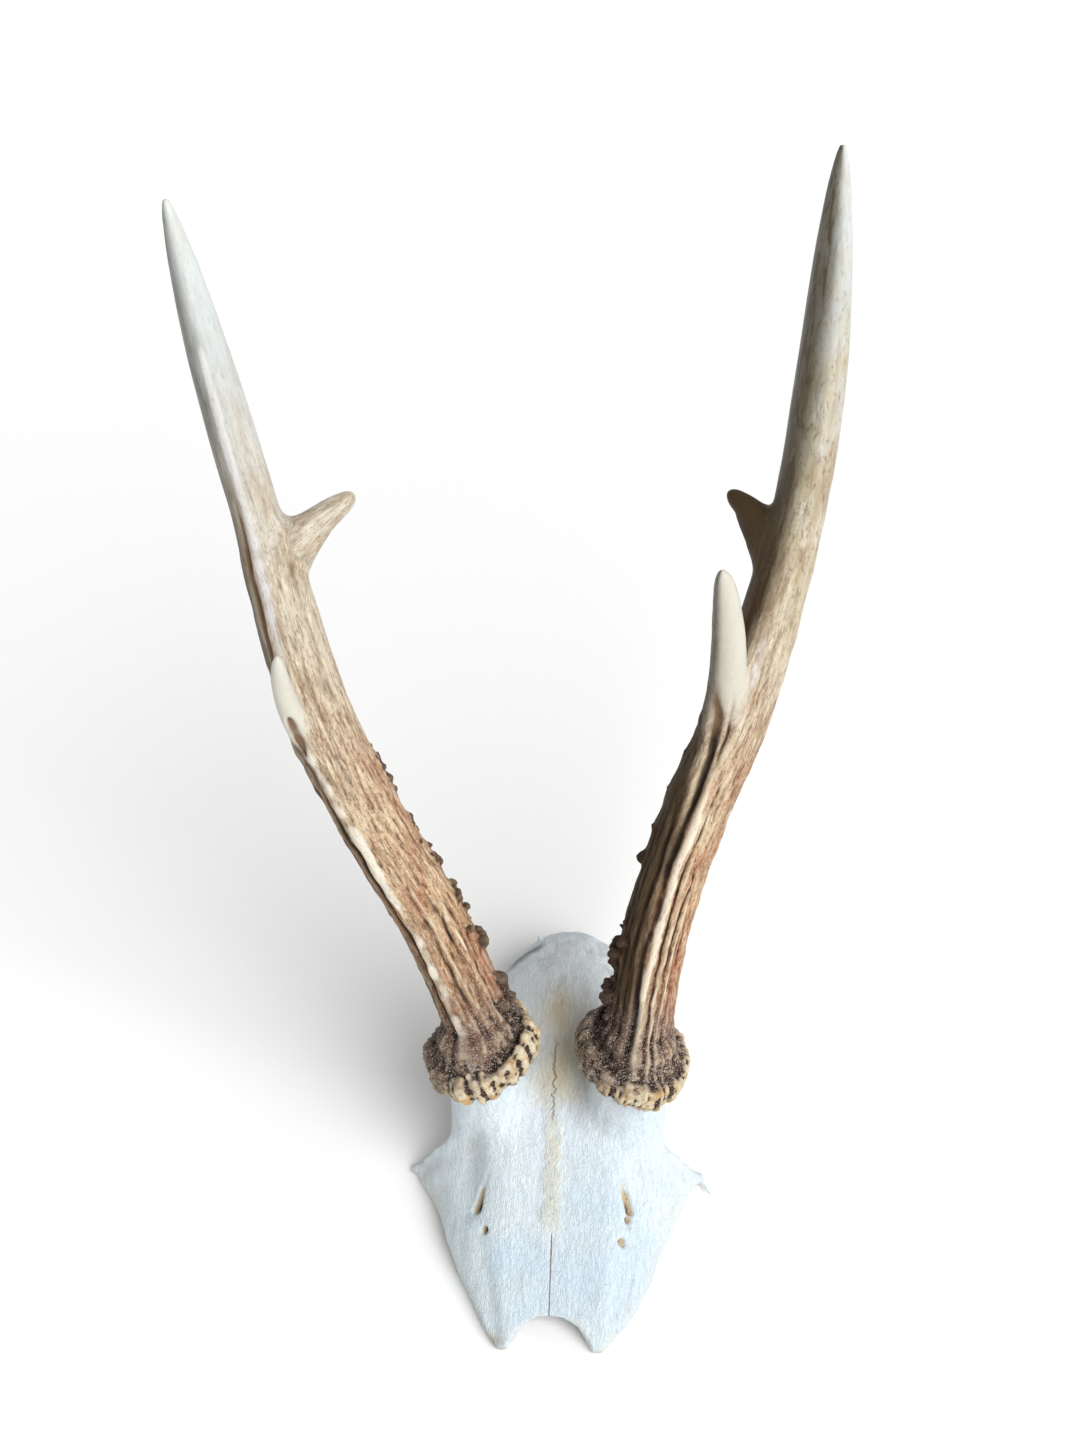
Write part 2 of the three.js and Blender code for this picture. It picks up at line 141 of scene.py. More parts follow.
# Each antler: the beam's middle line and radii, its tines, and its marks. A tine has the share of the beam's
# length where it leaves it, its middle line and radii, how bare its tip is, how strong the painted shade on
# its dark side is, whether its fibres run on from the beam, and how often its fork is smoothed.
LEFT = {
    "name": "antler_left",
    "side": -1,
    "seed": 11,
    "coronet": (-21.5, 61.5, 46.5),
    "line": [(-18.5, 61.5, 44), (-33.9, 80.5, 77), (-53, 98.5, 107.5), (-66.5, 115, 134),
             (-78.3, 139.5, 169.5), (-87, 154, 209), (-96, 170.5, 254.5)],
    "lower_radius": 9.3,
    "rear_fork_radius": 8.5,
    "upper_radius": 6.4,
    "rear_fork": 0.62,
    "tines": [
        {"at": 0.40, "path": [(-60.5, 100.5, 112.5), (-73.5, 106.5, 137), (-72.4, 109, 158)],
         "radius": 4.3, "tip_radius": 1.9, "fullness": 1.8,
         "bare_to": 0.8, "shade": 0.8, "follows_beam": True, "softening": 110},
        {"at": 0.62, "path": [(-76, 136.5, 166.5), (-65, 143, 172.5), (-55, 151.5, 175)],
         "radius": 7.2, "tip_radius": 2.3, "fullness": 0.9,
         "bare_to": 0.6, "shade": 0.2, "follows_beam": False, "softening": 190,
         "web": [(-74, 133.5, 160), (-67, 137.5, 166.5), (-59.5, 147, 173)]},
    ],
    # Each ridge or groove: from and to along the beam, angle from its front at each end in degrees, half
    # width in degrees, height, and how pale (above 0) or dark (below 0) it is
    "ridges": [
        (0, 128, -27, -36, 11.0, 0.8, 1.2),
        (0, 108, -46, -57, 6.0, -1.0, -0.8),
        (0, 100, -66, -62, 6.0, 0.5, 0.3),
        (0, 110, -82, -76, 7.0, -0.8, -0.9),
        (8, 84, 14, -8, 3.2, 0.4, 0.5),
        (5, 60, 3, -6, 4.0, -0.4, -0.5),
        (0, 62, 46, 28, 3.5, 0.45, 0.7),
        (4, 70, 34, 14, 4.0, -0.4, -0.5),
        (30, 90, 30, 40, 3.5, 0.3, 0.4),
        (96, 178, -50, -40, 9.0, -0.85, -0.85),
        (120, 240, -21, -8, 14.0, 0.3, 0.9),
        (84, 170, 6, 12, 5.0, -0.25, -0.48),
        (100, 168, 44, 40, 9.0, -0.2, -0.42),
    ],
    # The painted shade, partly also the antler's own darker colour: the angles where it starts and is full,
    # and how far both turn at shares of the length
    "shade": {"start": -36.0, "full": -82.0, "strength": 0.95,
              "turn": [(0.0, 4), (0.2, 8), (0.45, 6), (0.6, 10), (0.7, 24), (0.8, 42), (0.9, 32), (1.0, 28)]},
    # Pearls: their side in degrees from the front, how many, how far up, and single ones by place and size
    "pearls": {"side": 99.0, "count": 120, "spread": 94.0, "crowding": 1.5, "single": []},
    "scar": {"from": (-71.0, 104.0, 140.5), "to": (-67.2, 99.9, 127.0), "radius": 1.9, "depth": 0.9},
    "olive": 0.15,
}
RIGHT = {
    "name": "antler_right",
    "side": 1,
    "seed": 37,
    "coronet": (21.6, 61.0, 46.5),
    "line": [(21.5, 60.5, 44), (27.1, 80.5, 79.5), (36.9, 98.5, 110.5), (48.6, 115, 137),
             (59.8, 139.5, 172.5), (64.5, 155, 213), (66.3, 174.7, 268.5)],
    "lower_radius": 8.9,
    "rear_fork_radius": 7.8,
    "upper_radius": 6.9,
    "rear_fork": 0.60,
    "tines": [
        {"at": 0.42, "path": [(40.6, 107, 122), (47, 112.5, 151.5), (41, 116, 185.5)],
         "radius": 6.0, "tip_radius": 2.7, "fullness": 1.8,
         "bare_to": 0.8, "shade": 0.8, "follows_beam": True, "softening": 110},
        {"at": 0.60, "path": [(59.5, 138.5, 171.5), (51, 144.5, 176), (43, 151.7, 178)],
         "radius": 6.8, "tip_radius": 2.0, "fullness": 0.85,
         "bare_to": 0.58, "shade": 1.2, "follows_beam": False, "softening": 190,
         "web": [(58.5, 133, 162), (51.8, 137, 168), (46.5, 146.5, 175.5)]},
    ],
    "ridges": [
        (0, 108, -4, 5, 7.5, 0.6, 1.05),
        (86, 140, 4, -6, 14.0, 0.25, 0.5),
        (0, 92, -15, -10, 6.0, -1.4, -1.15),
        (80, 134, -10, -44, 7.5, -1.5, -1.15),
        (90, 132, -2, -22, 3.5, -0.4, -0.5),
        (0, 104, -25, -24, 4.0, 0.3, 0.0),
        (0, 96, -36, -34, 4.0, -0.6, -0.5),
        (0, 84, -47, -44, 4.0, 0.35, 0.1),
        (0, 90, -58, -56, 4.5, -0.55, -0.4),
        (0, 90, -78, -74, 6.0, -0.5, -0.4),
        (0, 82, 8, 18, 2.6, -0.65, -0.65),
        (0, 96, 14, 28, 3.0, 0.4, 0.6),
        (0, 72, 23, 38, 2.6, -0.5, -0.5),
        (0, 74, 31, 48, 3.0, 0.35, 0.5),
        (0, 60, 41, 58, 3.0, -0.45, -0.45),
        (132, 232, 24, 14, 20.0, 0.15, 0.42),
        (120, 236, 34, 30, 5.0, -0.15, -0.3),
    ],
    "shade": {"start": 0.0, "full": -38.0, "strength": 1.2,
              "turn": [(0.0, 4), (0.27, 12), (0.36, -18), (0.42, -26), (0.48, -12), (0.58, 2), (0.75, 12),
                       (0.92, 26)]},
    "pearls": {"side": -100.0, "count": 46, "spread": 36.0, "crowding": 1.1,
               "single": [(60, 1.5), (62, 1.0), (70, 1.0), (82, 0.95), (92, 0.9)]},
    "olive": 0.85,
}
FACING = (0.05, -0.64, 0.77)    # the front of a beam is the side that faces this way
LINE_STEPS = 420
BEAM_SIDES = 96
TINE_SIDES = 48
WEB = {"radius": 5.0, "tip_radius": 1.6, "sides": 32}
LATTICE = 32                    # the random numbers behind the noise repeat after this many cells

# Stage, in metres: the camera's axes are the ways its right, its top and its back point
FLOOR_HALF = 12.0
FLOOR_DROP = 0.0001
KEY_PLACE = (1.6, -1.35, 2.2)
KEY_TARGET = (0.0, 0.0, 0.08)
SENSOR_WIDTH = 36.0
CAMERA_PLACE = (0.0360, -0.3312, 0.5606)
CAMERA_AXES = ((0.9985, 0.0491, -0.0247), (-0.0218, 0.7661, 0.6423), (0.0504, -0.6408, 0.7660))


# ---- Numbers ----

def smooth_step(low, high, value):
    """0 below low, 1 above high and 3t^2 - 2t^3 in between."""
    share = np.clip((value - low) / (high - low), 0.0, 1.0)
    return share * share * (3.0 - 2.0 * share)


def smooth_fall(low, high, value):
    """1 below low and 0 above high: what a smooth step leaves."""
    return 1.0 - smooth_step(low, high, value)


def hump(distance, width):
    """exp(-(distance / width)^2)."""
    return np.exp(-(distance / width) ** 2)


def spot(x, y, centre, radii):
    """exp(-u^2 - v^2) of the distances u and v from the centre, as shares of the radii."""
    return np.exp(-((x - centre[0]) / radii[0]) ** 2 - ((y - centre[1]) / radii[1]) ** 2)


def mixed(first, second, share):
    return first + (second - first) * share


def unit(vectors):
    return vectors / np.linalg.norm(vectors, axis=-1, keepdims=True)


def noise(points, seed):
    """Smooth random values from -1 to 1. The corners of each unit cube hold random numbers, and a point in it
    has their mean, weighted on each axis by 6t^5 - 15t^4 + 10t^3 of its distance from them."""
    table = np.random.default_rng(seed).uniform(-1.0, 1.0, (LATTICE,) * 3)
    cell = np.floor(points).astype(int)
    part = points - cell
    ease = part ** 3 * (part * (part * 6.0 - 15.0) + 10.0)
    value = np.zeros(len(points))
    for corner in np.ndindex(2, 2, 2):
        weight = np.prod(np.where(corner, ease, 1.0 - ease), axis=1)
        i, j, k = ((cell + corner) % LATTICE).T
        value += weight * table[i, j, k]
    return value


def layered_noise(points, seed, layers=3):
    """Noise at doubling scales and halving heights, added up."""
    return sum(noise(points * 2.0 ** n, seed + n) / 2.0 ** n for n in range(layers))


# ---- Lines and closed shapes, as arrays of points in millimetres and arrays of faces ----

def smooth_line(knots, steps=80):
    """A cubic between each two knots, whose slope at a knot is half the step between the knots beside it."""
    knots = np.array(knots, float)
    knots = np.vstack([2 * knots[0] - knots[1], knots, 2 * knots[-1] - knots[-2]])
    before, start, end, after = knots[:-3], knots[1:-2], knots[2:-1], knots[3:]
    t = np.linspace(0.0, 1.0, steps, endpoint=False)[None, :, None]
    start_slope = 0.5 * (end - before)[:, None]
    end_slope = 0.5 * (after - start)[:, None]
    curve = ((2 * t ** 3 - 3 * t ** 2 + 1) * start[:, None] + (t ** 3 - 2 * t ** 2 + t) * start_slope
             + (3 * t ** 2 - 2 * t ** 3) * end[:, None] + (t ** 3 - t ** 2) * end_slope)
    return np.vstack([curve.reshape(-1, knots.shape[1]), end[-1:]])


def bow_line(knots):
    """(1-t)^2 of the first knot, 2t(1-t) of the second and t^2 of the third."""
    first, second, third = np.array(knots, float)
    t = np.linspace(0.0, 1.0, 200)[:, None]
    return (1 - t) ** 2 * first + 2 * t * (1 - t) * second + t ** 2 * third


class Path:
    """A line cut into equal steps, with its direction, its front and its side at each."""

    def __init__(self, curve, steps):
        distance = np.concatenate([[0.0], np.cumsum(np.linalg.norm(np.diff(curve, axis=0), axis=1))])
        self.length = distance[-1]
        self.share = np.linspace(0.0, 1.0, steps)
        self.points = np.stack([np.interp(self.share * self.length, distance, c) for c in curve.T], axis=1)
        self.tangent = unit(np.gradient(self.points, axis=0))
        ahead = (self.tangent @ np.array(FACING))[:, None]
        self.front = unit(FACING - ahead * self.tangent)
        self.side = np.cross(self.tangent, self.front)

    def locate(self, points):
        """For each point: its distance along the path, and how far it lies to the path's front and side."""
        nearest = np.empty(len(points), int)
        squares = (self.points ** 2).sum(axis=1)
        for start in range(0, len(points), 20000):
            block = points[start:start + 20000]
            nearest[start:start + 20000] = (squares - 2.0 * block @ self.points.T).argmin(axis=1)
        offset = points - self.points[nearest]
        ahead = (offset * self.tangent[nearest]).sum(axis=1)
        along = self.share[nearest] * self.length + ahead
        to_front = (offset * self.front[nearest]).sum(axis=1)
        to_side = (offset * self.side[nearest]).sum(axis=1)
        return along, to_front, to_side

    def place(self, along, angle, radius):
        """Points at distances along the path, turned by an angle from its front towards its side."""
        index = np.clip(along / self.length * (len(self.share) - 1), 0, len(self.share) - 1).astype(int)
        out = np.cos(angle)[:, None] * self.front[index] + np.sin(angle)[:, None] * self.side[index]
        return self.points[index] + radius[:, None] * out, out, self.tangent[index]


def grid_faces(rows, columns):
    """Four-sided faces of a grid of points that closes on itself across its columns."""
    i, j = np.meshgrid(np.arange(rows - 1), np.arange(columns), indexing="ij")
    right = (j + 1) % columns
    return np.stack([i * columns + j, i * columns + right, (i + 1) * columns + right, (i + 1) * columns + j],
                    axis=-1).reshape(-1, 4)


def closed_rings(rings, first=None, last=None):
    """Rings of points, as (rings, points in a ring, 3), closed by a fan of triangles to a point at each end,
    which is the mean of the end ring unless it is given."""
    rows, columns, _ = rings.shape
    first = rings[0].mean(axis=0) if first is None else first
    last = rings[-1].mean(axis=0) if last is None else last
    points = np.vstack([rings.reshape(-1, 3), first, last])
    j = np.arange(columns)
    turned = (j + 1) % columns
    end = (rows - 1) * columns
    start_fan = np.stack([np.full(columns, rows * columns), turned, j], axis=1)
    end_fan = np.stack([np.full(columns, rows * columns + 1), end + j, end + turned], axis=1)
    return points, [grid_faces(rows, columns), start_fan, end_fan]


def around(count):
    """Angles of equal steps round a circle."""
    return np.linspace(0.0, 2.0 * np.pi, count, endpoint=False)


def tube(path, radius, sides):
    """Rings round a path. radius is an array with a row for each step, and with one column or one a side."""
    angle = around(sides)[None, :, None]
    out = np.cos(angle) * path.front[:, None] + np.sin(angle) * path.side[:, None]
    rings = path.points[:, None] + radius[:, :, None] * out
    return closed_rings(rings, path.points[0], path.points[-1])


def ball(centre, axes, rings=9, sides=14):
    """A sphere stretched along three axes, given as the rows of a matrix."""
    polar = np.linspace(0.0, np.pi, rings + 2)[1:-1, None]
    turn = around(sides)[None, :]
    sphere = np.stack([np.sin(polar) * np.cos(turn), np.sin(polar) * np.sin(turn),
                       np.cos(polar) * np.ones_like(turn)], axis=-1)
    axes = np.asarray(axes, float)
    centre = np.asarray(centre, float)
    return closed_rings(centre + sphere @ axes, centre + axes[2], centre - axes[2])


def joined(shapes):
    """Several shapes as one array of points and one list of faces."""
    points, faces, count = [], [], 0
    for shape_points, shape_faces in shapes:
        points.append(shape_points)
        faces.extend(f + count for f in shape_faces)
        count += len(shape_points)
    return np.vstack(points), faces


def fill_mesh(mesh, points, faces):
    """Puts points and faces into a mesh."""
    corners = np.concatenate([f.ravel() for f in faces]).astype(np.int32)
    sizes = np.concatenate([np.full(len(f), f.shape[1]) for f in faces])
    starts = (np.cumsum(sizes) - sizes).astype(np.int32)
    mesh.vertices.add(len(points))
    mesh.vertices.foreach_set("co", points.astype(np.float32).ravel())
    mesh.loops.add(len(corners))
    mesh.loops.foreach_set("vertex_index", corners)
    mesh.polygons.add(len(sizes))
    mesh.polygons.foreach_set("loop_start", starts)
    mesh.update(calc_edges=True)


def skin_over(shapes, voxel):
    """One closed skin of four-sided faces over shapes that overlap, with faces about a voxel wide."""
    mesh = bpy.data.meshes.new("blank")
    fill_mesh(mesh, *joined(shapes))
    blank = bpy.data.objects.new("blank", mesh)
    bpy.context.scene.collection.objects.link(blank)
    remesh = blank.modifiers.new("Skin", "REMESH")
    remesh.mode = "VOXEL"
    remesh.voxel_size = voxel
    evaluated = blank.evaluated_get(bpy.context.evaluated_depsgraph_get())
    made = evaluated.to_mesh()
    points = np.empty(len(made.vertices) * 3, np.float32)
    made.vertices.foreach_get("co", points)
    corners = np.empty(len(made.loops), np.int32)
    made.loops.foreach_get("vertex_index", corners)
    evaluated.to_mesh_clear()
    bpy.data.objects.remove(blank)
    bpy.data.meshes.remove(mesh)
    if len(corners) == 0:
        raise RuntimeError("the skin came out empty")
    return largest_piece(points.reshape(-1, 3).astype(float), corners.reshape(-1, 4))


def largest_piece(points, quads):
    """The points and faces of the biggest connected piece. Each point takes the lowest number among its
    neighbours', again and again, until the numbers no longer change."""
    start, end = quads.ravel(), np.roll(quads, -1, axis=1).ravel()
    label = np.arange(len(points))
    while True:
        lowest = label.copy()
        both = np.minimum(label[start], label[end])
        np.minimum.at(lowest, start, both)
        np.minimum.at(lowest, end, both)
        lowest = lowest[lowest]
        if (lowest == label).all():
            break
        label = lowest
    keep = label == np.bincount(label).argmax()
    number = np.cumsum(keep) - 1
    return points[keep], number[quads[keep[quads[:, 0]]]]


class Skin:
    """A closed mesh of four-sided faces that is shaped point by point."""

    def __init__(self, points, quads):
        self.points = points
        self.quads = quads
        edges = np.vstack([quads[:, [0, 1]], quads[:, [1, 2]], quads[:, [2, 3]], quads[:, [3, 0]]])
        self.start = np.concatenate([edges[:, 0], edges[:, 1]])
        self.end = np.concatenate([edges[:, 1], edges[:, 0]])
        self.degree = np.bincount(self.start, minlength=len(points)).astype(float)
        self.attributes = {}

    def spread(self, values, times, share=0.5):
        """Moves each point's value by a share towards the mean of its neighbours', several times."""
        values = np.array(values, float)
        flat = values.ndim == 1
        if flat:
            values = values[:, None]
        share = np.broadcast_to(np.asarray(share, float).reshape(-1, 1), (len(values), 1))
        for _ in range(times):
            mean = np.stack([np.bincount(self.start, weights=column[self.end], minlength=len(values))
                             for column in values.T], axis=1) / self.degree[:, None]
            values = values + share * (mean - values)
        return values[:, 0] if flat else values

    def smooth(self, times, share=0.5):
        self.points = self.spread(self.points, times, share)

    def normals(self):
        """The cross product of each face's diagonals, added up at its corners."""
        a, b, c, d = (self.points[self.quads[:, k]] for k in range(4))
        face = np.cross(c - a, d - b)
        total = np.stack([sum(np.bincount(self.quads[:, k], weights=face[:, axis], minlength=len(self.points))
                              for k in range(4)) for axis in range(3)], axis=1)
        return unit(total)

    def raise_by(self, height):
        self.points = self.points + self.normals() * height[:, None]

    def hollows_and_edges(self, times, scale):
        """Two masks, of hollows and of edges: how far the smoothed skin lies above each point or below it,
        over the scale, and at most 1."""
        above = ((self.spread(self.points, times) - self.points) * self.normals()).sum(axis=1)
        return np.clip(above / scale, 0.0, 1.0), np.clip(-above / scale, 0.0, 1.0)

    def to_object(self, name, material):
        """The finished piece, in metres in the frame of the whole."""
        mesh = bpy.data.meshes.new(name)
        fill_mesh(mesh, (self.points - CENTRE) * MM, [self.quads])
        for key, values in self.attributes.items():
            kind, field = ("FLOAT", "value") if values.ndim == 1 else ("FLOAT_VECTOR", "vector")
            layer = mesh.attributes.new(key, kind, "POINT")
            layer.data.foreach_set(field, values.astype(np.float32).ravel())
        mesh.polygons.foreach_set("use_smooth", np.ones(len(self.quads), bool))
        mesh.materials.append(material)
        mesh.update()
        piece = bpy.data.objects.new(name, mesh)
        bpy.context.scene.collection.objects.link(piece)
        return piece


# ---- Skull cap ----

def crest_height(y):
    """Height of the mid line: a straight forehead and an elliptical dome, joined by a soft minimum."""
    forehead = NOTCH_HEIGHT + FOREHEAD_SLOPE * y
    along = np.maximum(0.0, y - DOME["centre"]) / DOME["half_length"]
    dome = DOME["height"] * np.sqrt(np.maximum(0.0, 1.0 - along ** 2))
    return -CREST_SOFTNESS * np.logaddexp(-forehead / CREST_SOFTNESS, -dome / CREST_SOFTNESS)


def half_width(y):
    """Half of the cap's width: it widens from the points by 1 - exp(-y), flares by exp(y) to the processes
    behind the eyes, is narrower along the temples and rounds off at the occiput by (1 - y^1.6)^0.6."""
    widening = 1.0 - np.exp(-(y - FRONT_END) / BROW_LENGTH)
    ahead = np.minimum(0.0, y - BROW_FLARE["at"]) / BROW_FLARE["front"]
    behind = np.maximum(0.0, y - BROW_FLARE["at"]) / BROW_FLARE["back"]
    brow = (POINT_HALF_WIDTH + (BROW_HALF_WIDTH - POINT_HALF_WIDTH) * widening
            + BROW_FLARE["width"] * np.exp(ahead))
    swell = smooth_step(TEMPLE_SWELL["start"], TEMPLE_SWELL["end"], y)
    temple = WALL_HALF_WIDTH + TEMPLE_SWELL["width"] * swell
    width = mixed(temple, brow, np.exp(-behind))
    closing = np.maximum(0.0, y - OCCIPUT["start"]) / (OCCIPUT["end"] - OCCIPUT["start"])
    return width * (1.0 - closing ** OCCIPUT["power"]) ** OCCIPUT["root"]


def outer_height(y, share):
    """Height of the outside at a share of the half width: a plate that falls as a power of x in front turns
    into a dome whose section is |x|^p + |z|^p = 1."""
    crest = np.maximum(DOME["rim"], crest_height(y))
    x = share * half_width(y)
    plate = crest - SIDE_FALL * np.maximum(0.0, x - FLAT_HALF_WIDTH) ** SIDE_FALL_POWER
    dome = DOME["rim"] + (crest - DOME["rim"]) * (1.0 - share ** DOME["power"]) ** (1.0 / DOME["power"])
    return np.maximum(DOME["rim"], mixed(plate, dome, smooth_step(DOME_START, DOME_END, y)))


def inner_height(x, y, outside):
    """Height of the underside: flat on the saw cut, and the top of an ellipsoid in each hollow."""
    height = np.zeros_like(x)
    for hollow in HOLLOWS:
        (cx, cy, cz), (rx, ry, rz) = hollow["centre"], hollow["radii"]
        left_over = 1.0 - ((x - cx) / rx) ** 2 - ((y - cy) / ry) ** 2
        height = np.maximum(height, cz + rz * np.sqrt(np.maximum(0.0, left_over)))
    return np.maximum(0.0, np.minimum(height, outside - THINNEST_WALL))


def margin_shift(y, share):
    """Shift in x at a share of the half width, where one side's margin differs from the other's."""
    left, right = (share * m["width"] * hump(y - m["at"], m["length"]) for m in (LEFT_STEP, RIGHT_SWELL))
    return np.where(share < 0, left, right)


def cap_shell(rows=230, columns=181):
    """The cap's block: a grid of places along y and of shares of the half width across, once for the outside
    and once, the other way round, for the underside. Strips close it at its front and its back."""
    across = np.sin(np.linspace(-0.5, 0.5, columns) * np.pi)[None, :]
    y = np.linspace(FRONT_END, BACK_END, rows)[:, None] * np.ones_like(across)
    x = across * half_width(y) + margin_shift(y, across)
    side = np.stack([np.sign(across) * 3.0 + 8.0 + 0.0 * y, y / 4.5, 0.0 * y], axis=-1)
    x = x * (1.0 + 0.014 * noise(side.reshape(-1, 3), 5).reshape(y.shape))
    notch = -NOTCH_RADIUS + np.sqrt(np.maximum(0.0, NOTCH_RADIUS ** 2 - x ** 2))
    y = np.maximum(y, np.where(np.abs(x) < NOTCH_RADIUS, notch, FRONT_END))
    top = outer_height(y, np.abs(across) * np.ones_like(y))
    bottom = inner_height(x, y, top)
    x = x + DOME_SHIFT["x"] * smooth_step(DOME_SHIFT["start"], DOME_SHIFT["end"], y)
    outside = np.stack([x, y, top], axis=-1)
    inside = np.stack([x, y, bottom], axis=-1)[:, ::-1]
    rings = np.concatenate([outside, inside], axis=1)
    j = np.arange(columns - 1)
    opposite = 2 * columns - 1 - j
    front = np.stack([j, opposite, opposite - 1, j + 1], axis=1)
    back = front[:, ::-1] + (rows - 1) * 2 * columns
    return rings.reshape(-1, 3), [grid_faces(rows, 2 * columns)[:, ::-1], front, back]


def pedicle_axis(antler):
    x, y, z = PEDICLE["root"]
    return np.array([antler["side"] * x, y, z]), np.array(antler["coronet"])


def pedicle(antler):
    """Level rings from the root to inside the coronet, wider at the root."""
    root, top = pedicle_axis(antler)
    along = np.linspace(0.0, PEDICLE["top"], 60)[:, None, None]
    turn = around(72)[None, :, None]
    radius = PEDICLE["neck_radius"] + (PEDICLE["root_radius"] - PEDICLE["neck_radius"]) * (1.0 - along) ** 2
    circle = np.concatenate([np.cos(turn), np.sin(turn), 0.0 * turn], axis=-1)
    return closed_rings(mixed(root, top, along) + radius * circle)


def cone(start, end, start_radius, end_radius, flatness=1.0):
    """A straight round bar that narrows, squashed in height and cut off level with the saw cut."""
    path = Path(np.linspace(start, end, 12), 12)
    radius = np.linspace(start_radius, end_radius, 12)[:, None]
    points, faces = tube(path, radius, 20)
    middle = np.interp(points[:, 0], *zip(*sorted([(start[0], start[2]), (end[0], end[2])])))
    points[:, 2] = np.maximum(0.0, middle + (points[:, 2] - middle) * flatness)
    return points, faces


def brow_process(side):
    root, tip = np.array(BROW_PROCESS["root"]), np.array(BROW_PROCESS["tip"])
    mirror = np.array([side, 1.0, 1.0])
    return cone(root * mirror, tip * mirror, BROW_PROCESS["root_radius"], BROW_PROCESS["tip_radius"], 0.75)


def groove(x, y, entry, power):
    """The mask and the depth at each place of a groove along a line on the forehead. The mask is
    exp(-(distance / width)^power): a higher power gives it a flatter floor and steeper sides."""
    start, end, start_width, end_width, start_depth, end_depth = entry
    start, end = np.array(start), np.array(end)
    run = end - start
    share = np.clip(((x - start[0]) * run[0] + (y - start[1]) * run[1]) / (run @ run), 0.0, 1.0)
    distance = np.hypot(x - start[0] - share * run[0], y - start[1] - share * run[1])
    inside = np.exp(-(distance / mixed(start_width, end_width, share)) ** power)
    return inside, mixed(start_depth, end_depth, share)


def near_pedicles(points):
    """1 round the pedicles' roots, where they flow into the forehead and the dome, and 0 elsewhere."""
    x, y, z = points.T
    near = np.zeros(len(x))
    for antler in (LEFT, RIGHT):
        root, top = pedicle_axis(antler)
        axis = mixed(root, top, np.clip((z - root[2]) / (top[2] - root[2]), 0, 1)[:, None])
        distance = np.hypot(x - axis[:, 0], y - axis[:, 1])
        near = np.maximum(near, smooth_fall(13.0, 19.0, distance))
    return near * (smooth_fall(37.0, 43.0, z) * smooth_step(2.0, 6.0, z))


def cap_relief(skin, near):
    """Raises the cap's relief point by point. Returns the masks that the material reads of what it raised."""
    x, y, z = skin.points.T
    normals = skin.normals()
    upward = smooth_step(0.1, 0.5, normals[:, 2])
    forehead = smooth_fall(48.0, 62.0, y)
    on_top = upward * (z > inner_height(x, y, z + 50.0) + 0.2)
    height = np.zeros(len(x))

    # The raised, rough band on the mid line, and the open seam ahead of it
    aside = x - np.interp(y, MID_LINE["y"], MID_LINE["x"])
    ragged = np.abs(aside) + 0.9 * noise(skin.points * (0.3, 0.45, 0.3), 20)
    band = smooth_fall(1.3, 3.4, ragged) * smooth_step(17.0, 27.0, y) * smooth_fall(44.0, 60.0, y)
    height += CAP_RELIEF["band"] * band * (0.8 + 0.9 * noise(skin.points * (1.2, 0.7, 0.9), 21)) * on_top
    seam = hump(aside, 0.45) * smooth_fall(18.0, 21.0, y)
    height -= CAP_RELIEF["seam"] * seam * on_top
    lips = hump(np.abs(aside) - 1.0, 0.6)
    height += CAP_RELIEF["seam_lips"] * lips * smooth_fall(16.0, 21.0, y) * on_top

    # Pits, holes and channels
    pit = np.zeros(len(x))
    for entry in FOREHEAD_PITS:
        inside, depth = groove(x, y, entry, 4)
        height -= inside * depth * on_top
        pit = np.maximum(pit, inside * np.clip(depth / HOLE_DEPTH, 0.0, 1.0) * on_top)
    for entry in FOREHEAD_CHANNELS:
        inside, depth = groove(x, y, entry, 2)
        height -= inside * depth * on_top * forehead
    height = np.maximum(height, -DEEPEST)

    # Low swellings, and wrinkles that run along the forehead and down the pedicles
    height += CAP_RELIEF["swellings"] * layered_noise(skin.points / 11.0, 3) * (z > 0.8)
    sway = noise(skin.points / (6.0, 9.0, 9.0), 7)
    lengthwise = noise(skin.points * (0.62, 0.17, 0.2) + 0.8 * sway[:, None], 8)
    height += CAP_RELIEF["wrinkles"] * lengthwise * on_top
    on_dome = smooth_step(66.0, 80.0, y)
    folded = noise(skin.points * (0.17, 0.08, 0.1) + 0.9 * sway[:, None], 10)
    height += CAP_RELIEF["dome_wrinkles"] * on_dome * folded * (z > 3.0)
    steep = smooth_fall(0.3, 0.75, np.abs(normals[:, 2]))
    upright = noise(skin.points * (0.45, 0.45, 0.07), 9)
    height += CAP_RELIEF["pedicle_wrinkles"] * upright * steep * (z > 1.5) * near
    skin.raise_by(height)
    return {"pit": skin.spread(pit, 1), "band": band * on_top, "under": smooth_fall(-0.3, 0.1, normals[:, 2])}


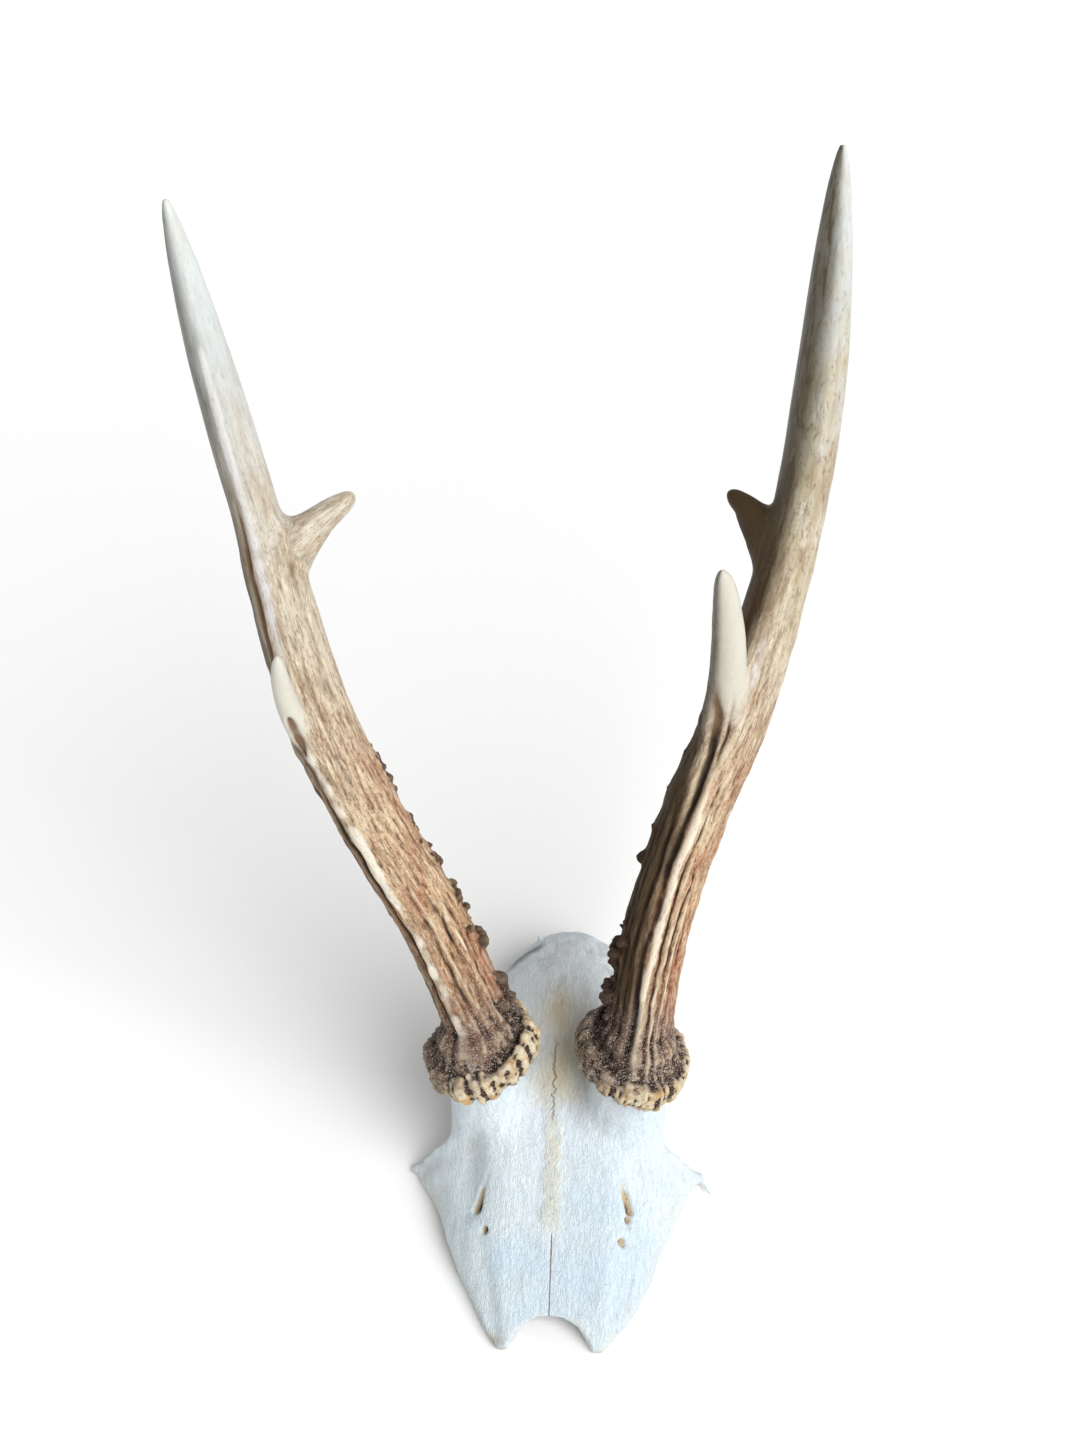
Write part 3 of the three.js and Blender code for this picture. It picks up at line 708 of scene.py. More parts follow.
def cap_masks(skin):
    """Masks of the hollows, for their dirt and painted shade, of the broken margins and of the stains, which
    the cap's material reads.
    """
    hollow, _ = skin.hollows_and_edges(14, 0.55)
    x, y, z = skin.points.T
    margin = smooth_fall(0.6, 3.2, half_width(np.minimum(y, 127.0)) - np.abs(x))
    notch_gap = np.hypot(x, y + NOTCH_RADIUS) - NOTCH_RADIUS
    margin = np.maximum(margin, smooth_fall(0.3, 1.6, notch_gap)) * smooth_fall(10.0, 16.0, z)
    left_point = spot(x, y, (-16.0, -6.5), (3.2, 2.4))
    blot = layered_noise(skin.points / (4.0, 9.0, 6.0), 60)
    valley = hump(x - 0.3, 6.5) * smooth_step(50.0, 57.0, y) * smooth_fall(78.0, 97.0, y)
    warm = np.clip(valley * (0.85 + 0.3 * blot), 0.0, 1.0) * (z > 12.0)
    between = 0.1 * spot(x, y, (1.0, 67.0), (2.6, 7.0)) * (0.9 + 0.6 * blot)
    right_foot = 0.4 * spot(x, y, (6.8, 56.0), (2.6, 8.0)) * (0.9 + 0.4 * blot)
    stain = np.clip(between + right_foot, 0.0, 1.0) * (z > 12.0)
    stain = np.maximum(stain, 0.7 * left_point)
    # A dark line at the back left of the dome: painted shadow under the edge there
    slanting = hump(y - 108.0 - 0.55 * (x + 10), 2.0)
    back_edge = slanting * smooth_step(-20, -14, x) * smooth_fall(-8.0, -5.0, x) * (z > 15)
    return {
        "hollow": hollow,
        "margin": margin,
        "stain": skin.spread(stain, 6),
        "warm": skin.spread(warm, 10),
        # Masks of the dome and the upper forehead, whose colour is whitened as painted light; the dome's also
        # sets the swirls
        "dome": smooth_step(62.0, 80.0, y),
        "upper": smooth_step(20.0, 42.0, y),
        "back_edge": back_edge,
    }


def cap_skin(voxel):
    """The whole cap as one skin, with its relief and its masks."""
    shapes = [cap_shell(), pedicle(LEFT), pedicle(RIGHT), brow_process(-1), brow_process(1),
              cone(SPUR["from"], SPUR["to"], SPUR["radius"], SPUR["tip_radius"]),
              ball(KNOB["centre"], np.diag(KNOB["radii"]))]
    skin = Skin(*skin_over(shapes, voxel))
    skin.smooth(3)
    near = near_pedicles(skin.points)
    skin.smooth(90, 0.5 * near)
    relief = cap_relief(skin, near)
    skin.smooth(1, 0.3)
    skin.points[:, 2] = np.maximum(skin.points[:, 2], 0.0)
    skin.attributes = {**relief, **cap_masks(skin)}
    return skin


# ---- Antlers ----

def beam_radius(antler, along):
    """Radius of the beam at a share of its length: even below, slightly less at the rear fork, then a long
    point that narrows by (1 - t^2.8)^0.8."""
    fork = antler["rear_fork"]
    lower = mixed(antler["lower_radius"], antler["rear_fork_radius"], smooth_step(0.3, fork, along))
    rest = np.clip((along - fork) / (1.0 - fork), 0.0, 1.0)
    upper = TIP_RADIUS + (antler["upper_radius"] - TIP_RADIUS) * (1.0 - rest ** 2.8) ** 0.8
    return mixed(lower, upper, smooth_step(fork - 0.03, fork + 0.06, along))


def tine_radius(tine, along):
    """Radius of a tine at a share of its length: fattest at its root, narrower by t^fullness, and rounded off
    at its tip by the root of 1 - t^16."""
    along = np.clip(along, 0.0, 1.0)
    body = tine["tip_radius"] + (tine["radius"] - tine["tip_radius"]) * (1.0 - along ** tine["fullness"])
    root = TINE_FLARE * tine["radius"] * (1.0 - along) ** 4
    return np.maximum(TIP_RADIUS / 2.0, (body + root) * np.sqrt(np.maximum(0.0, 1.0 - along ** 16)))


def coronet_frame(antler):
    """Centre, and the directions to the front, to the side and up, of the ring round the antler's foot."""
    x, y, z = CORONET_NORMAL
    up = unit(np.array([antler["side"] * x, y, z]))
    side = unit(np.cross(up, (0.0, -1.0, 0.0)))
    return np.array(antler["coronet"]), np.cross(side, up), side, up


def lobes(angle, count, rng, unevenness):
    """Rounded lobes with sharp creases between them: the root of 1 - t^2 across each lobe, whose width and
    height vary. Returns the height from 0 to about 1 at each angle."""
    edges = np.sort(2.0 * np.pi * (np.arange(count) + unevenness * rng.uniform(-1, 1, count)) / count)
    heights = rng.uniform(0.6, 1.05, count)
    turn = (angle - edges[0]) % (2.0 * np.pi)
    starts = edges - edges[0]
    index = np.searchsorted(starts, turn, side="right") - 1
    widths = np.diff(np.append(starts, 2.0 * np.pi))
    t = 2.0 * (turn - starts[index]) / widths[index] - 1.0
    return heights[index] * np.sqrt(np.maximum(0.0, 1.0 - 0.96 * t ** 2))


def coronet_ring(antler, columns=640, steps=12):
    """A ring round the antler's foot, worked out as a section that turns about the ring's axis. The section
    runs from inside the beam down its foot, over the rim and back underneath, and lobes swell it."""
    rng = np.random.default_rng(antler["seed"])
    angle = around(columns)
    inward = 0.5 + 0.5 * np.cos(angle + antler["side"] * 0.62 * np.pi)
    frill = smooth_step(0.35, 0.85, inward)
    circle = np.column_stack([np.cos(angle), np.sin(angle), 0.0 * angle])
    wave = noise(circle * 2.1 + 5.0, antler["seed"] + 40)
    one = np.ones(columns)
    section = [
        (6.0 * one, 10.5 * one),
        (9.7 * one, 8.5 * one),
        (10.9 + 0.5 * wave, 5.4 - 1.6 * frill),
        (12.6 + 0.4 * frill, 2.9 - 0.4 * frill),
        (14.2 + 0.3 * wave, 2.6 + 3.0 * frill + 0.6 * wave),
        (15.9 + 0.3 * wave, 1.6 + 2.9 * frill),
        (16.3 + 0.3 * wave, -1.6 + 1.3 * frill),
        (15.6 - 0.9 * frill, -4.4 + 0.8 * frill),
        (13.4 * one, -5.4 * one),
        (10.0 * one, -4.6 * one),
        (6.0 * one, -3.5 * one),
    ]
    knots = np.array([np.concatenate(k) for k in section])
    line = smooth_line(knots, steps)
    reach, lift = line[:, :columns], line[:, columns:]
    along = np.linspace(0.0, 1.0, len(line))[:, None]
    not_beneath = smooth_fall(0.84, 0.95, along)
    at_rim = smooth_step(0.26, 0.46, along) * not_beneath
    at_drops = smooth_step(0.52, 0.66, along) * not_beneath
    places = np.tile(circle[:, :2] * 3.0, (len(line), 1))
    places = np.column_stack([places, np.repeat(along[:, 0] * 3.0, columns)])
    drift = noise(places, antler["seed"] + 41).reshape(reach.shape)
    warped = angle[None, :] + 0.05 * drift
    narrow = lobes(warped, NARROW_LOBES, rng, 0.45)
    wide = lobes(warped + 0.4, WIDE_LOBES, rng, 0.42)
    lobe = mixed(0.72 * narrow + 0.28 * wide, 0.3 * narrow + 0.7 * wide, frill)
    out = np.stack([reach - CORONET_MIDDLE, lift], axis=-1)
    out = out / np.maximum(np.linalg.norm(out, axis=-1, keepdims=True), 1.0)
    swell = (lobe - 0.62) * LOBE_SWELL * at_rim
    swell = swell + (narrow - 0.6) * 0.5 * smooth_step(0.1, 0.26, along) * (1.0 - at_rim)
    reach = reach + swell * out[..., 0]
    lift = lift + swell * out[..., 1] - DROP_LENGTH * (lobe - 0.62) * at_drops * (1.0 - 0.5 * frill)
    centre, front, side, up = coronet_frame(antler)
    turned = np.cos(angle)[:, None] * front + np.sin(angle)[:, None] * side
    rings = centre + reach[..., None] * turned[None] + lift[..., None] * up
    return closed_rings(rings[::-1])


def coronet_beads(antler):
    """Small beads strewn over the coronet's rim and the foot of the beam."""
    centre, front, side, up = coronet_frame(antler)
    rng = np.random.default_rng(antler["seed"] + 7)
    shapes = []
    for _ in range(CORONET_BEADS):
        angle = rng.uniform(-math.pi, math.pi)
        out = math.cos(angle) * front + math.sin(angle) * side
        sideways = -math.sin(angle) * front + math.cos(angle) * side
        size = rng.uniform(0.4, 0.9)
        reach = rng.uniform(11.0, 14.8)
        lift = rng.uniform(2.0, 4.6)
        middle = centre + reach * out + lift * up
        shapes.append(ball(middle, [1.25 * size * out, 0.85 * size * sideways, 1.2 * size * up], 7, 10))
    return shapes


def pearl_shapes(antler, path):
    """The bony beads on the beam, with their centres and sizes. They crowd near the coronet on the inner side
    and thin out upwards, as a power of random shares, and single ones stand above them."""
    pearls = antler["pearls"]
    rng = np.random.default_rng(antler["seed"] + 1)
    count = pearls["count"]
    along = 6.0 + pearls["spread"] * rng.random(count) ** pearls["crowding"]
    along += 2.5 * np.sin(along / 2.1)
    scatter = mixed(20.0, 8.0, along / 100.0)
    angle = np.radians(pearls["side"] + scatter * rng.normal(size=count))
    size = mixed(1.8, 0.95, smooth_step(5.0, 85.0, along)) * rng.uniform(0.4, 1.15, count)
    single = np.array(pearls["single"], float).reshape(-1, 2)
    along = np.append(along, single[:, 0])
    angle = np.append(angle, np.full(len(single), math.radians(pearls["side"])))
    size = np.append(size, single[:, 1])
    radius = beam_radius(antler, along / path.length) + 0.7 * size
    centres, out, tangent = path.place(along, angle, radius)
    sideways = np.cross(out, tangent)
    shapes = [ball(centre, [o * s * 1.15, r * s * 0.9, t * s * 1.1], 7, 10)
              for centre, o, r, t, s in zip(centres, out, sideways, tangent, size)]
    return shapes, centres, size


def almond(points, start, end, radius):
    """1 inside an almond between two places and 0 outside it: its radius is (4t(1-t))^0.6 along it, and its
    edge wavers."""
    start, run = np.array(start), np.subtract(end, start)
    share = np.clip((points - start) @ run / (run @ run), 0.01, 0.99)
    distance = np.linalg.norm(points - start - share[:, None] * run, axis=1)
    width = radius * (4.0 * share * (1.0 - share)) ** 0.6
    return smooth_fall(0.25, 1.35, distance / width + 0.2 * noise(points / 4.0, 90))


def wrapped(angle):
    return (angle + np.pi) % (2.0 * np.pi) - np.pi


def named_ridges(antler, along, angle, seed):
    """Sum of the ridges that run up the beam, each height * exp(-(turn / width)^2), and how pale or dark they
    are."""
    height = np.zeros(len(along))
    pale = np.zeros(len(along))
    dark = np.zeros(len(along))
    for k, (low, high, low_angle, high_angle, width, rise, tone) in enumerate(antler["ridges"]):
        climb = np.clip((along - low) / (high - low), 0.0, 1.2)
        fade = smooth_fall(0.72, 1.1, climb) * smooth_step(-0.15 * low, 0.15 * low + 0.01, along - low)
        place = np.stack([along, 0 * along + 50.0 * k, 0 * along], axis=1)
        wander = 3.6 * noise(place / 13.0, seed + k) + 1.5 * noise(place / 4.5, seed + k)
        turn = np.degrees(wrapped(angle - np.radians(mixed(low_angle, high_angle, climb) + wander)))
        strength = 0.88 + 0.35 * noise(place / 17.0, seed + k + 30)
        strength += 0.32 * noise(place / 3.3, seed + k + 60)
        shape = hump(turn, width) * strength
        height += rise * shape * fade
        if tone > 0:
            pale = np.maximum(pale, tone * shape * fade)
        else:
            dark = np.maximum(dark, -tone * shape * fade)
    return height, pale, dark


def beside_tine(tine, path, points):
    """For each point: its distances to the tine's front, to its side and along it, its share of the tine's
    length, and its gap to the tine's surface."""
    along, to_front, to_side = path.locate(points)
    share = np.clip(along / path.length, 0.0, 1.0)
    return (to_front, to_side, along), share, np.hypot(to_front, to_side) - tine_radius(tine, share)


def antler_shapes(antler, path, tines):
    """The shapes that the antler's skin goes over: beam, tines, webs, pearls and coronet. With them come the
    pearls' centres and sizes."""
    radius = beam_radius(antler, path.share)
    foot = BEAM_FOOT["height"] * np.exp(-path.share * path.length / BEAM_FOOT["length"])
    lobed = BEAM_CORNERS * np.cos(3.0 * around(BEAM_SIDES) + 0.6)[None, :]
    section = 1.0 + lobed * smooth_fall(0.45, 0.7, path.share)[:, None]
    shapes = [tube(path, (radius + foot)[:, None] * section, BEAM_SIDES)]
    for tine, tine_path in tines:
        shapes.append(tube(tine_path, tine_radius(tine, tine_path.share)[:, None], TINE_SIDES))
        if "web" in tine:
            web = Path(bow_line(tine["web"]), 60)
            web_radius = mixed(WEB["radius"], WEB["tip_radius"], web.share)[:, None]
            shapes.append(tube(web, web_radius, WEB["sides"]))
    pearls, centres, sizes = pearl_shapes(antler, path)
    return shapes + pearls + [coronet_ring(antler)] + coronet_beads(antler), centres, sizes


def foot_masks(antler, skin):
    """Masks of the burr and of the coronet's pale rim, which is weaker on top, and weaker on the left as
    painted shade.
    """
    centre, _, _, up = coronet_frame(antler)
    offset = skin.points - centre
    above = offset @ up
    off_axis = np.linalg.norm(offset - above[:, None] * up, axis=1)
    burr = smooth_fall(6.5, 11.0, above) * smooth_step(9.0, 11.5, off_axis)
    on_frill = (offset @ np.array(FRILL_SIDE)) > 6.0
    rim = smooth_step(13.8, 16.4, off_axis) * smooth_fall(5.0, 9.0, above)
    rim *= 1.0 - 0.7 * smooth_step(-0.5, 2.5, above) * (1.0 - skin.spread(on_frill.astype(float), 12))
    # Painted shade: the pale rim fades on each coronet's left, the side away from the light
    rim *= 1.0 - 0.6 * smooth_step(5.0, 11.0, centre[0] - skin.points[:, 0])
    return burr, rim


def antler_skin(antler, voxel):
    """The whole antler as one skin, with its relief and the masks that its material reads."""
    seed = antler["seed"]
    path = Path(smooth_line(antler["line"]), LINE_STEPS)
    tines = [(tine, Path(bow_line(tine["path"]), 120)) for tine in antler["tines"]]
    shapes, bead_centres, bead_sizes = antler_shapes(antler, path, tines)
    skin = Skin(*skin_over(shapes, voxel))
    centre, _, _, _ = coronet_frame(antler)
    away = np.linalg.norm(skin.points - centre, axis=1)
    skin.smooth(3, 0.15 + 0.35 * smooth_step(18.0, 24.0, away))

    # The forks are smoothed into webs
    for tine, tine_path in tines:
        _, share, gap = beside_tine(tine, tine_path, skin.points)
        at_root = np.exp(-np.maximum(gap, 0.0) / 4.5) * smooth_fall(0.3, 0.75, share)
        skin.smooth(tine["softening"], 0.5 * at_root)

    along, to_front, to_side = path.locate(skin.points)
    share = np.clip(along / path.length, 0.0, 1.0)
    angle = np.arctan2(to_side, to_front)
    reach = np.hypot(to_front, to_side)
    beam_gap = reach - beam_radius(antler, share)
    grain = np.stack([to_front, to_side, along], axis=1)
    bareness = share.copy()
    on_tine = np.zeros(len(share))
    shade_share = np.ones(len(share))
    polished = np.zeros(len(share))
    shade = antler["shade"]
    leftward = (-np.degrees(angle) + 6.0 * noise(skin.points / 9.0, seed + 14)
                + np.interp(share, *zip(*shade["turn"])))
    for tine, tine_path in tines:
        own, t_share, gap = beside_tine(tine, tine_path, skin.points)
        weight = smooth_step(-1.5, 2.5, beam_gap - gap) * smooth_step(0.2, 3.0, beam_gap) * (gap < 4.0)
        root = smooth_step(0.2, 0.62, t_share) if tine["follows_beam"] else 1.0
        on_tine = np.maximum(on_tine, weight * root)
        climb = t_share ** (1.4 if tine["follows_beam"] else 0.8)
        bareness = mixed(bareness, mixed(tine["at"], tine["bare_to"], climb), weight)
        shade_share = mixed(shade_share, mixed(1.0, tine["shade"], smooth_step(0.1, 0.45, t_share)), weight)
        if tine["follows_beam"]:
            polished = np.maximum(polished, weight * smooth_step(0.15, 0.5, t_share))
            own_leftward = -np.degrees(np.arctan2(own[1], own[0])) - 24.0
            leftward = mixed(leftward, own_leftward, weight * smooth_step(0.12, 0.4, t_share))
        else:
            grain = np.where(weight[:, None] > 0.5, np.stack(own, axis=1), grain)

    burr, rim = foot_masks(antler, skin)
    near_burr = smooth_fall(9.0, 26.0, along)
    nearest = np.full(len(share), 9.0)
    for c, s in zip(bead_centres, bead_sizes):
        nearest = np.minimum(nearest, np.linalg.norm(skin.points - c, axis=1) / s)
    pearl = smooth_fall(1.0, 1.35, nearest)

    # Ridges, grooves and wrinkles
    circle = np.stack([np.cos(angle), np.sin(angle)], axis=1)

    def wrapped_round(turns, length):
        return np.column_stack([circle * turns, along / length])

    lower = smooth_fall(0.34, 0.56, share)
    middle = smooth_fall(0.5, 0.78, share)
    beam_only = (1.0 - on_tine) * (1.0 - pearl)
    bend = 0.35 * noise(wrapped_round(1.3, 10.0), seed + 3)[:, None]
    ribs = 1.0 - 2.6 * np.abs(noise(wrapped_round(2.7, 30.0) + bend, seed + 4))
    fine_ribs = 1.0 - 2.6 * np.abs(noise(wrapped_round(5.6, 9.0) + bend, seed + 6))
    wrinkles = layered_noise(wrapped_round(5.5, 4.0), seed + 5, 2)
    named, pale, dark = named_ridges(antler, along, angle, seed + 20)
    facing = 0.45 + 0.55 * smooth_step(-0.2, 0.5, -np.cos(angle))
    high = ANTLER_RELIEF
    height = (high["ribs"] * ribs * facing * lower + high["upper_ribs"] * ribs * (middle - lower)) * beam_only
    height += high["fine_ribs"] * fine_ribs * (0.3 + 0.7 * lower) * middle * beam_only
    height += high["wrinkles"] * wrinkles * (0.25 + 0.75 * lower) * middle * beam_only
    height += named * beam_only * (1.0 - 0.6 * burr)
    height += high["fibres"] * layered_noise(grain * (0.35, 0.35, 0.05), seed + 9) * (1.0 - lower)
    rough = np.maximum(np.maximum(burr, 0.5 * near_burr), pearl)
    height += (high["knobbles"] - 0.1 * burr) * rough * layered_noise(skin.points / 1.3, seed + 12)
    scar = np.zeros(len(share))
    if "scar" in antler:
        mark = antler["scar"]
        scar = almond(skin.points, mark["from"], mark["to"], mark["radius"])
        height -= mark["depth"] * scar
    skin.raise_by(height)
    skin.smooth(1, 0.35)

    # Painted shade: the colour darkens on the side turned from the light, partly the antler's own darker
    # colour there
    soft = smooth_step(0.5, 0.72, share)
    shaded = smooth_step(-shade["start"] - 10.0 * soft, -shade["full"] + 18.0 * soft, leftward)
    shaded *= smooth_fall(125.0, 165.0, leftward)
    shaded = shade["strength"] * shaded * shade_share * (1.0 - 0.1 * smooth_step(0.5, 0.95, share))
    # Masks of hollows and crevices, which the material darkens: partly dirt, partly painted shade
    hollow, edge = skin.hollows_and_edges(12, 0.42)
    crevice, _ = skin.hollows_and_edges(5, 0.24)
    hollow = np.clip(hollow * (1.0 + 0.9 * burr), 0.0, 1.0)
    hollow = np.maximum(hollow, crevice * np.maximum(0.5 * burr, 0.6 * lower))
    olive = antler["olive"] * smooth_step(0.42, 0.62, share)
    skin.attributes = {
        "grain": grain,
        "bare": np.clip(bareness, 0.0, 1.0),
        "polished": polished,
        "olive": olive * (1.0 - 0.75 * smooth_step(0.76, 0.94, share)),
        "shaded_side": shaded,
        "pale": pale * beam_only,
        "dark": np.maximum(dark * beam_only, 0.66 * scar * (1.0 + 0.25 * noise(skin.points / 3.0, 91))),
        "pearl": pearl,
        "burr": burr,
        "near_burr": near_burr,
        "rim": rim,
        "hollow": hollow,
        "edge": edge,
    }
    return skin


# ---- Materials ----

class Value:
    """A socket of a material's nodes. Arithmetic on it adds Math nodes."""

    def __init__(self, paint, socket):
        self.paint = paint
        self.socket = socket

    def __add__(self, other):
        return self.paint.math("ADD", self, other)

    def __sub__(self, other):
        return self.paint.math("SUBTRACT", self, other)

    def __rsub__(self, other):
        return self.paint.math("SUBTRACT", other, self)

    def __mul__(self, other):
        return self.paint.math("MULTIPLY", self, other)

    __radd__ = __add__
    __rmul__ = __mul__


class Paint:
    """A material, the nodes it is made of, and the colour they have come to so far."""

    def __init__(self, name):
        self.material = bpy.data.materials.new(name)
        self.material.use_nodes = True
        self.tree = self.material.node_tree
        self.tree.nodes.clear()
        self.colour = None

    def node(self, kind, settings=None, inputs=None, output=0):
        """Adds a node, sets it up, fills or links its sockets, and returns one of its outputs."""
        node = self.tree.nodes.new(kind)
        for key, setting in (settings or {}).items():
            if key == "stops":
                self.set_stops(node.color_ramp, setting)
            else:
                setattr(node, key, setting)
        for key, value in (inputs or {}).items():
            if isinstance(value, Value):
                self.tree.links.new(value.socket, node.inputs[key])
            else:
                node.inputs[key].default_value = value
        if not node.outputs:
            return None
        return Value(self, node.outputs[output])

    def set_stops(self, ramp, stops):
        while len(ramp.elements) < len(stops):
            ramp.elements.new(1.0)
        for element, (position, colour) in zip(ramp.elements, stops):
            element.position = position
            element.color = (*srgb(colour), 1.0)

    def math(self, operation, *values):
        return self.node("ShaderNodeMath", {"operation": operation}, dict(enumerate(values)))

    def attribute(self, name, output="Fac"):
        return self.node("ShaderNodeAttribute", {"attribute_name": name}, output=output)

    def place(self, scale=1.0):
        """The place on the piece, in metres unless it is scaled."""
        return self.stretched(self.node("ShaderNodeTexCoord", output="Object"), (scale,) * 3)

    def stretched(self, vector, scale):
        return self.node("ShaderNodeMapping", None, {"Vector": vector, "Scale": scale}, "Vector")

    def noise(self, vector, scale, detail=4.0, roughness=0.55, distortion=0.0, stretch=None):
        if stretch:
            vector = self.stretched(vector, stretch)
        return self.node("ShaderNodeTexNoise", None, {
            "Vector": vector, "Scale": scale, "Detail": detail, "Roughness": roughness,
            "Distortion": distortion}, "Fac")

    def step(self, value, low, high, to_low=0.0, to_high=1.0):
        return self.node("ShaderNodeMapRange", {"interpolation_type": "SMOOTHSTEP"}, {
            "Value": value, "From Min": low, "From Max": high, "To Min": to_low, "To Max": to_high}, "Result")

    def mix(self, share, first, second):
        first, second = ((*srgb(c), 1.0) if isinstance(c, tuple) else c for c in (first, second))
        return self.node("ShaderNodeMix", {"data_type": "RGBA", "clamp_factor": True},
                         {0: share, 6: first, 7: second}, 2)

    def lay(self, share, colour):
        """Mixes a share of a colour into the colour so far."""
        self.colour = self.mix(share, self.colour, colour)

    def bump(self, height, strength, distance):
        inputs = {"Strength": strength, "Distance": distance, "Height": height}
        return self.node("ShaderNodeBump", None, inputs, "Normal")

    def finish(self, **inputs):
        """Adds the surface shader with the colour and these sockets, and returns the material."""
        inputs = {key.replace("_", " "): value for key, value in inputs.items()}
        inputs["Base Color"] = self.colour
        shader = self.node("ShaderNodeBsdfPrincipled", None, inputs)
        self.node("ShaderNodeOutputMaterial", None, {"Surface": shader})
        return self.material


def srgb(colour):
    """The linear values of a colour given as it looks on a screen."""
    return tuple(c / 12.92 if c <= 0.04045 else ((c + 0.055) / 1.055) ** 2.4 for c in colour)


def screen(colour):
    """The values as they look on a screen of a linear colour."""
    return tuple(12.92 * c if c <= 0.0031308 else 1.055 * c ** (1 / 2.4) - 0.055 for c in colour[:3])


def bone_material(settings):
    """Bleached bone: bluish white with fine lengthwise wrinkles, creamy broken edges and brown stains."""
    paint = Paint("bleached_bone")
    attribute, noise, step, lay = paint.attribute, paint.noise, paint.step, paint.lay
    place = paint.place(1.0 / MM)
    cloud = noise(place, 0.06, 3.0)
    paint.colour = paint.mix(step(cloud, 0.38, 0.66), screen(settings.bone_colour), (0.865, 0.905, 0.92))
    tint = noise(place, 0.035, 2.0)
    lay(step(tint, 0.45, 0.62) * 0.45, (0.79, 0.86, 0.93))
    # Whiter on the upper forehead and the dome: painted light that lifts the shade the antlers cast there
    lay(attribute("upper") * 0.33, (0.93, 0.95, 0.96))
    dome = attribute("dome")
    lay(dome * 0.6, (0.935, 0.96, 0.975))
    swirl = noise(place, 1.0, 4.0, 0.6, 1.6, stretch=(0.16, 0.07, 0.1))
    lay(step(swirl, 0.49, 0.36) * (dome * 0.18 + 0.16), (0.70, 0.73, 0.73))
    grain = noise(place, 0.9, 3.0, 0.55, 0.6, stretch=(1.0, 0.3, 0.5))
    folds = paint.math("SINE", grain * 30.0) * 0.5 + 0.5
    # Grey in the troughs of the fine wrinkles: painted shade, beside their bump
    lay(step(folds, 0.3, 0.0) * 0.13, (0.68, 0.72, 0.75))

    # The rough band, the broken margins and the stains
    band = attribute("band")
    fibre = noise(place, 1.5, 5.0, 0.7, stretch=(1.0, 0.5, 0.7))
    lay(band * step(fibre, 0.4, 0.6, 0.2, 0.95), (0.90, 0.885, 0.81))
    lay(band * step(fibre, 0.42, 0.32) * 0.55, (0.64, 0.62, 0.54))
    patch = noise(place, 0.25, 4.0)
    lay(attribute("margin") * step(patch, 0.4, 0.65, 0.05, 0.32), screen(settings.cream_colour))
    lay(attribute("warm") * step(patch, 0.3, 0.7, 0.7, 0.95), (0.87, 0.81, 0.67))
    blot = noise(place, 0.35, 5.0, 0.65)
    lay(attribute("stain") * step(blot, 0.25, 0.62, 0.55, 1.0), screen(settings.stain_colour))
    # Darker in the hollows: partly dirt, partly painted shade
    lay(attribute("hollow") * 0.4, (0.68, 0.63, 0.50))
    pit = attribute("pit")
    lay(step(pit, 0.10, 0.45) * 0.75, (0.80, 0.70, 0.52))
    # Painted shade deep inside the pits and holes
    lay(step(pit, 0.62, 1.0) * 0.92, (0.36, 0.29, 0.20))
    # Painted shadow: a dark line along the back left edge of the dome
    lay(attribute("back_edge") * 0.75, (0.34, 0.33, 0.29))

    # The seam on the mid line: a thin straight crack in front, a wandering one between the antlers
    aside = paint.node("ShaderNodeSeparateXYZ", None, {0: place}, 0) - SEAM_X
    y = paint.node("ShaderNodeSeparateXYZ", None, {0: place}, 1)
    wander = noise(place, 0.55, 4.0, 0.7, stretch=(0.0, 1.0, 0.0)) - 0.5
    crack = step(paint.math("ABSOLUTE", aside + wander * 0.5), 0.22, 0.05) * step(y, -62.6, -64.0)
    crooked = paint.math("ABSOLUTE", aside + 0.7 + wander * 5.5)
    suture = step(crooked, 0.26, 0.05) * step(y, -37.0, -32.0) * step(y, -10.0, -16.0)
    under = attribute("under")
    line = paint.math("MAXIMUM", crack, suture * 0.8) * (1.0 - under)
    lay(line * 0.85, (0.56, 0.44, 0.31))
    lay(under * 0.5, (0.80, 0.76, 0.66))

    fine = noise(place, 2.6, 6.0, 0.65, stretch=(1.0, 0.35, 0.6))
    pores = step(noise(place, 3.2, 3.0, 0.6), 0.36, 0.28)
    relief = folds * 0.36 + fine * 0.4 + band * fibre * 1.6 + pores * -0.25 - line * 1.2
    return paint.finish(Roughness=step(fine, 0.3, 0.7, 0.52, 0.68), Specular_IOR_Level=0.35,
                        Normal=paint.bump(relief, 0.9, 0.0004))


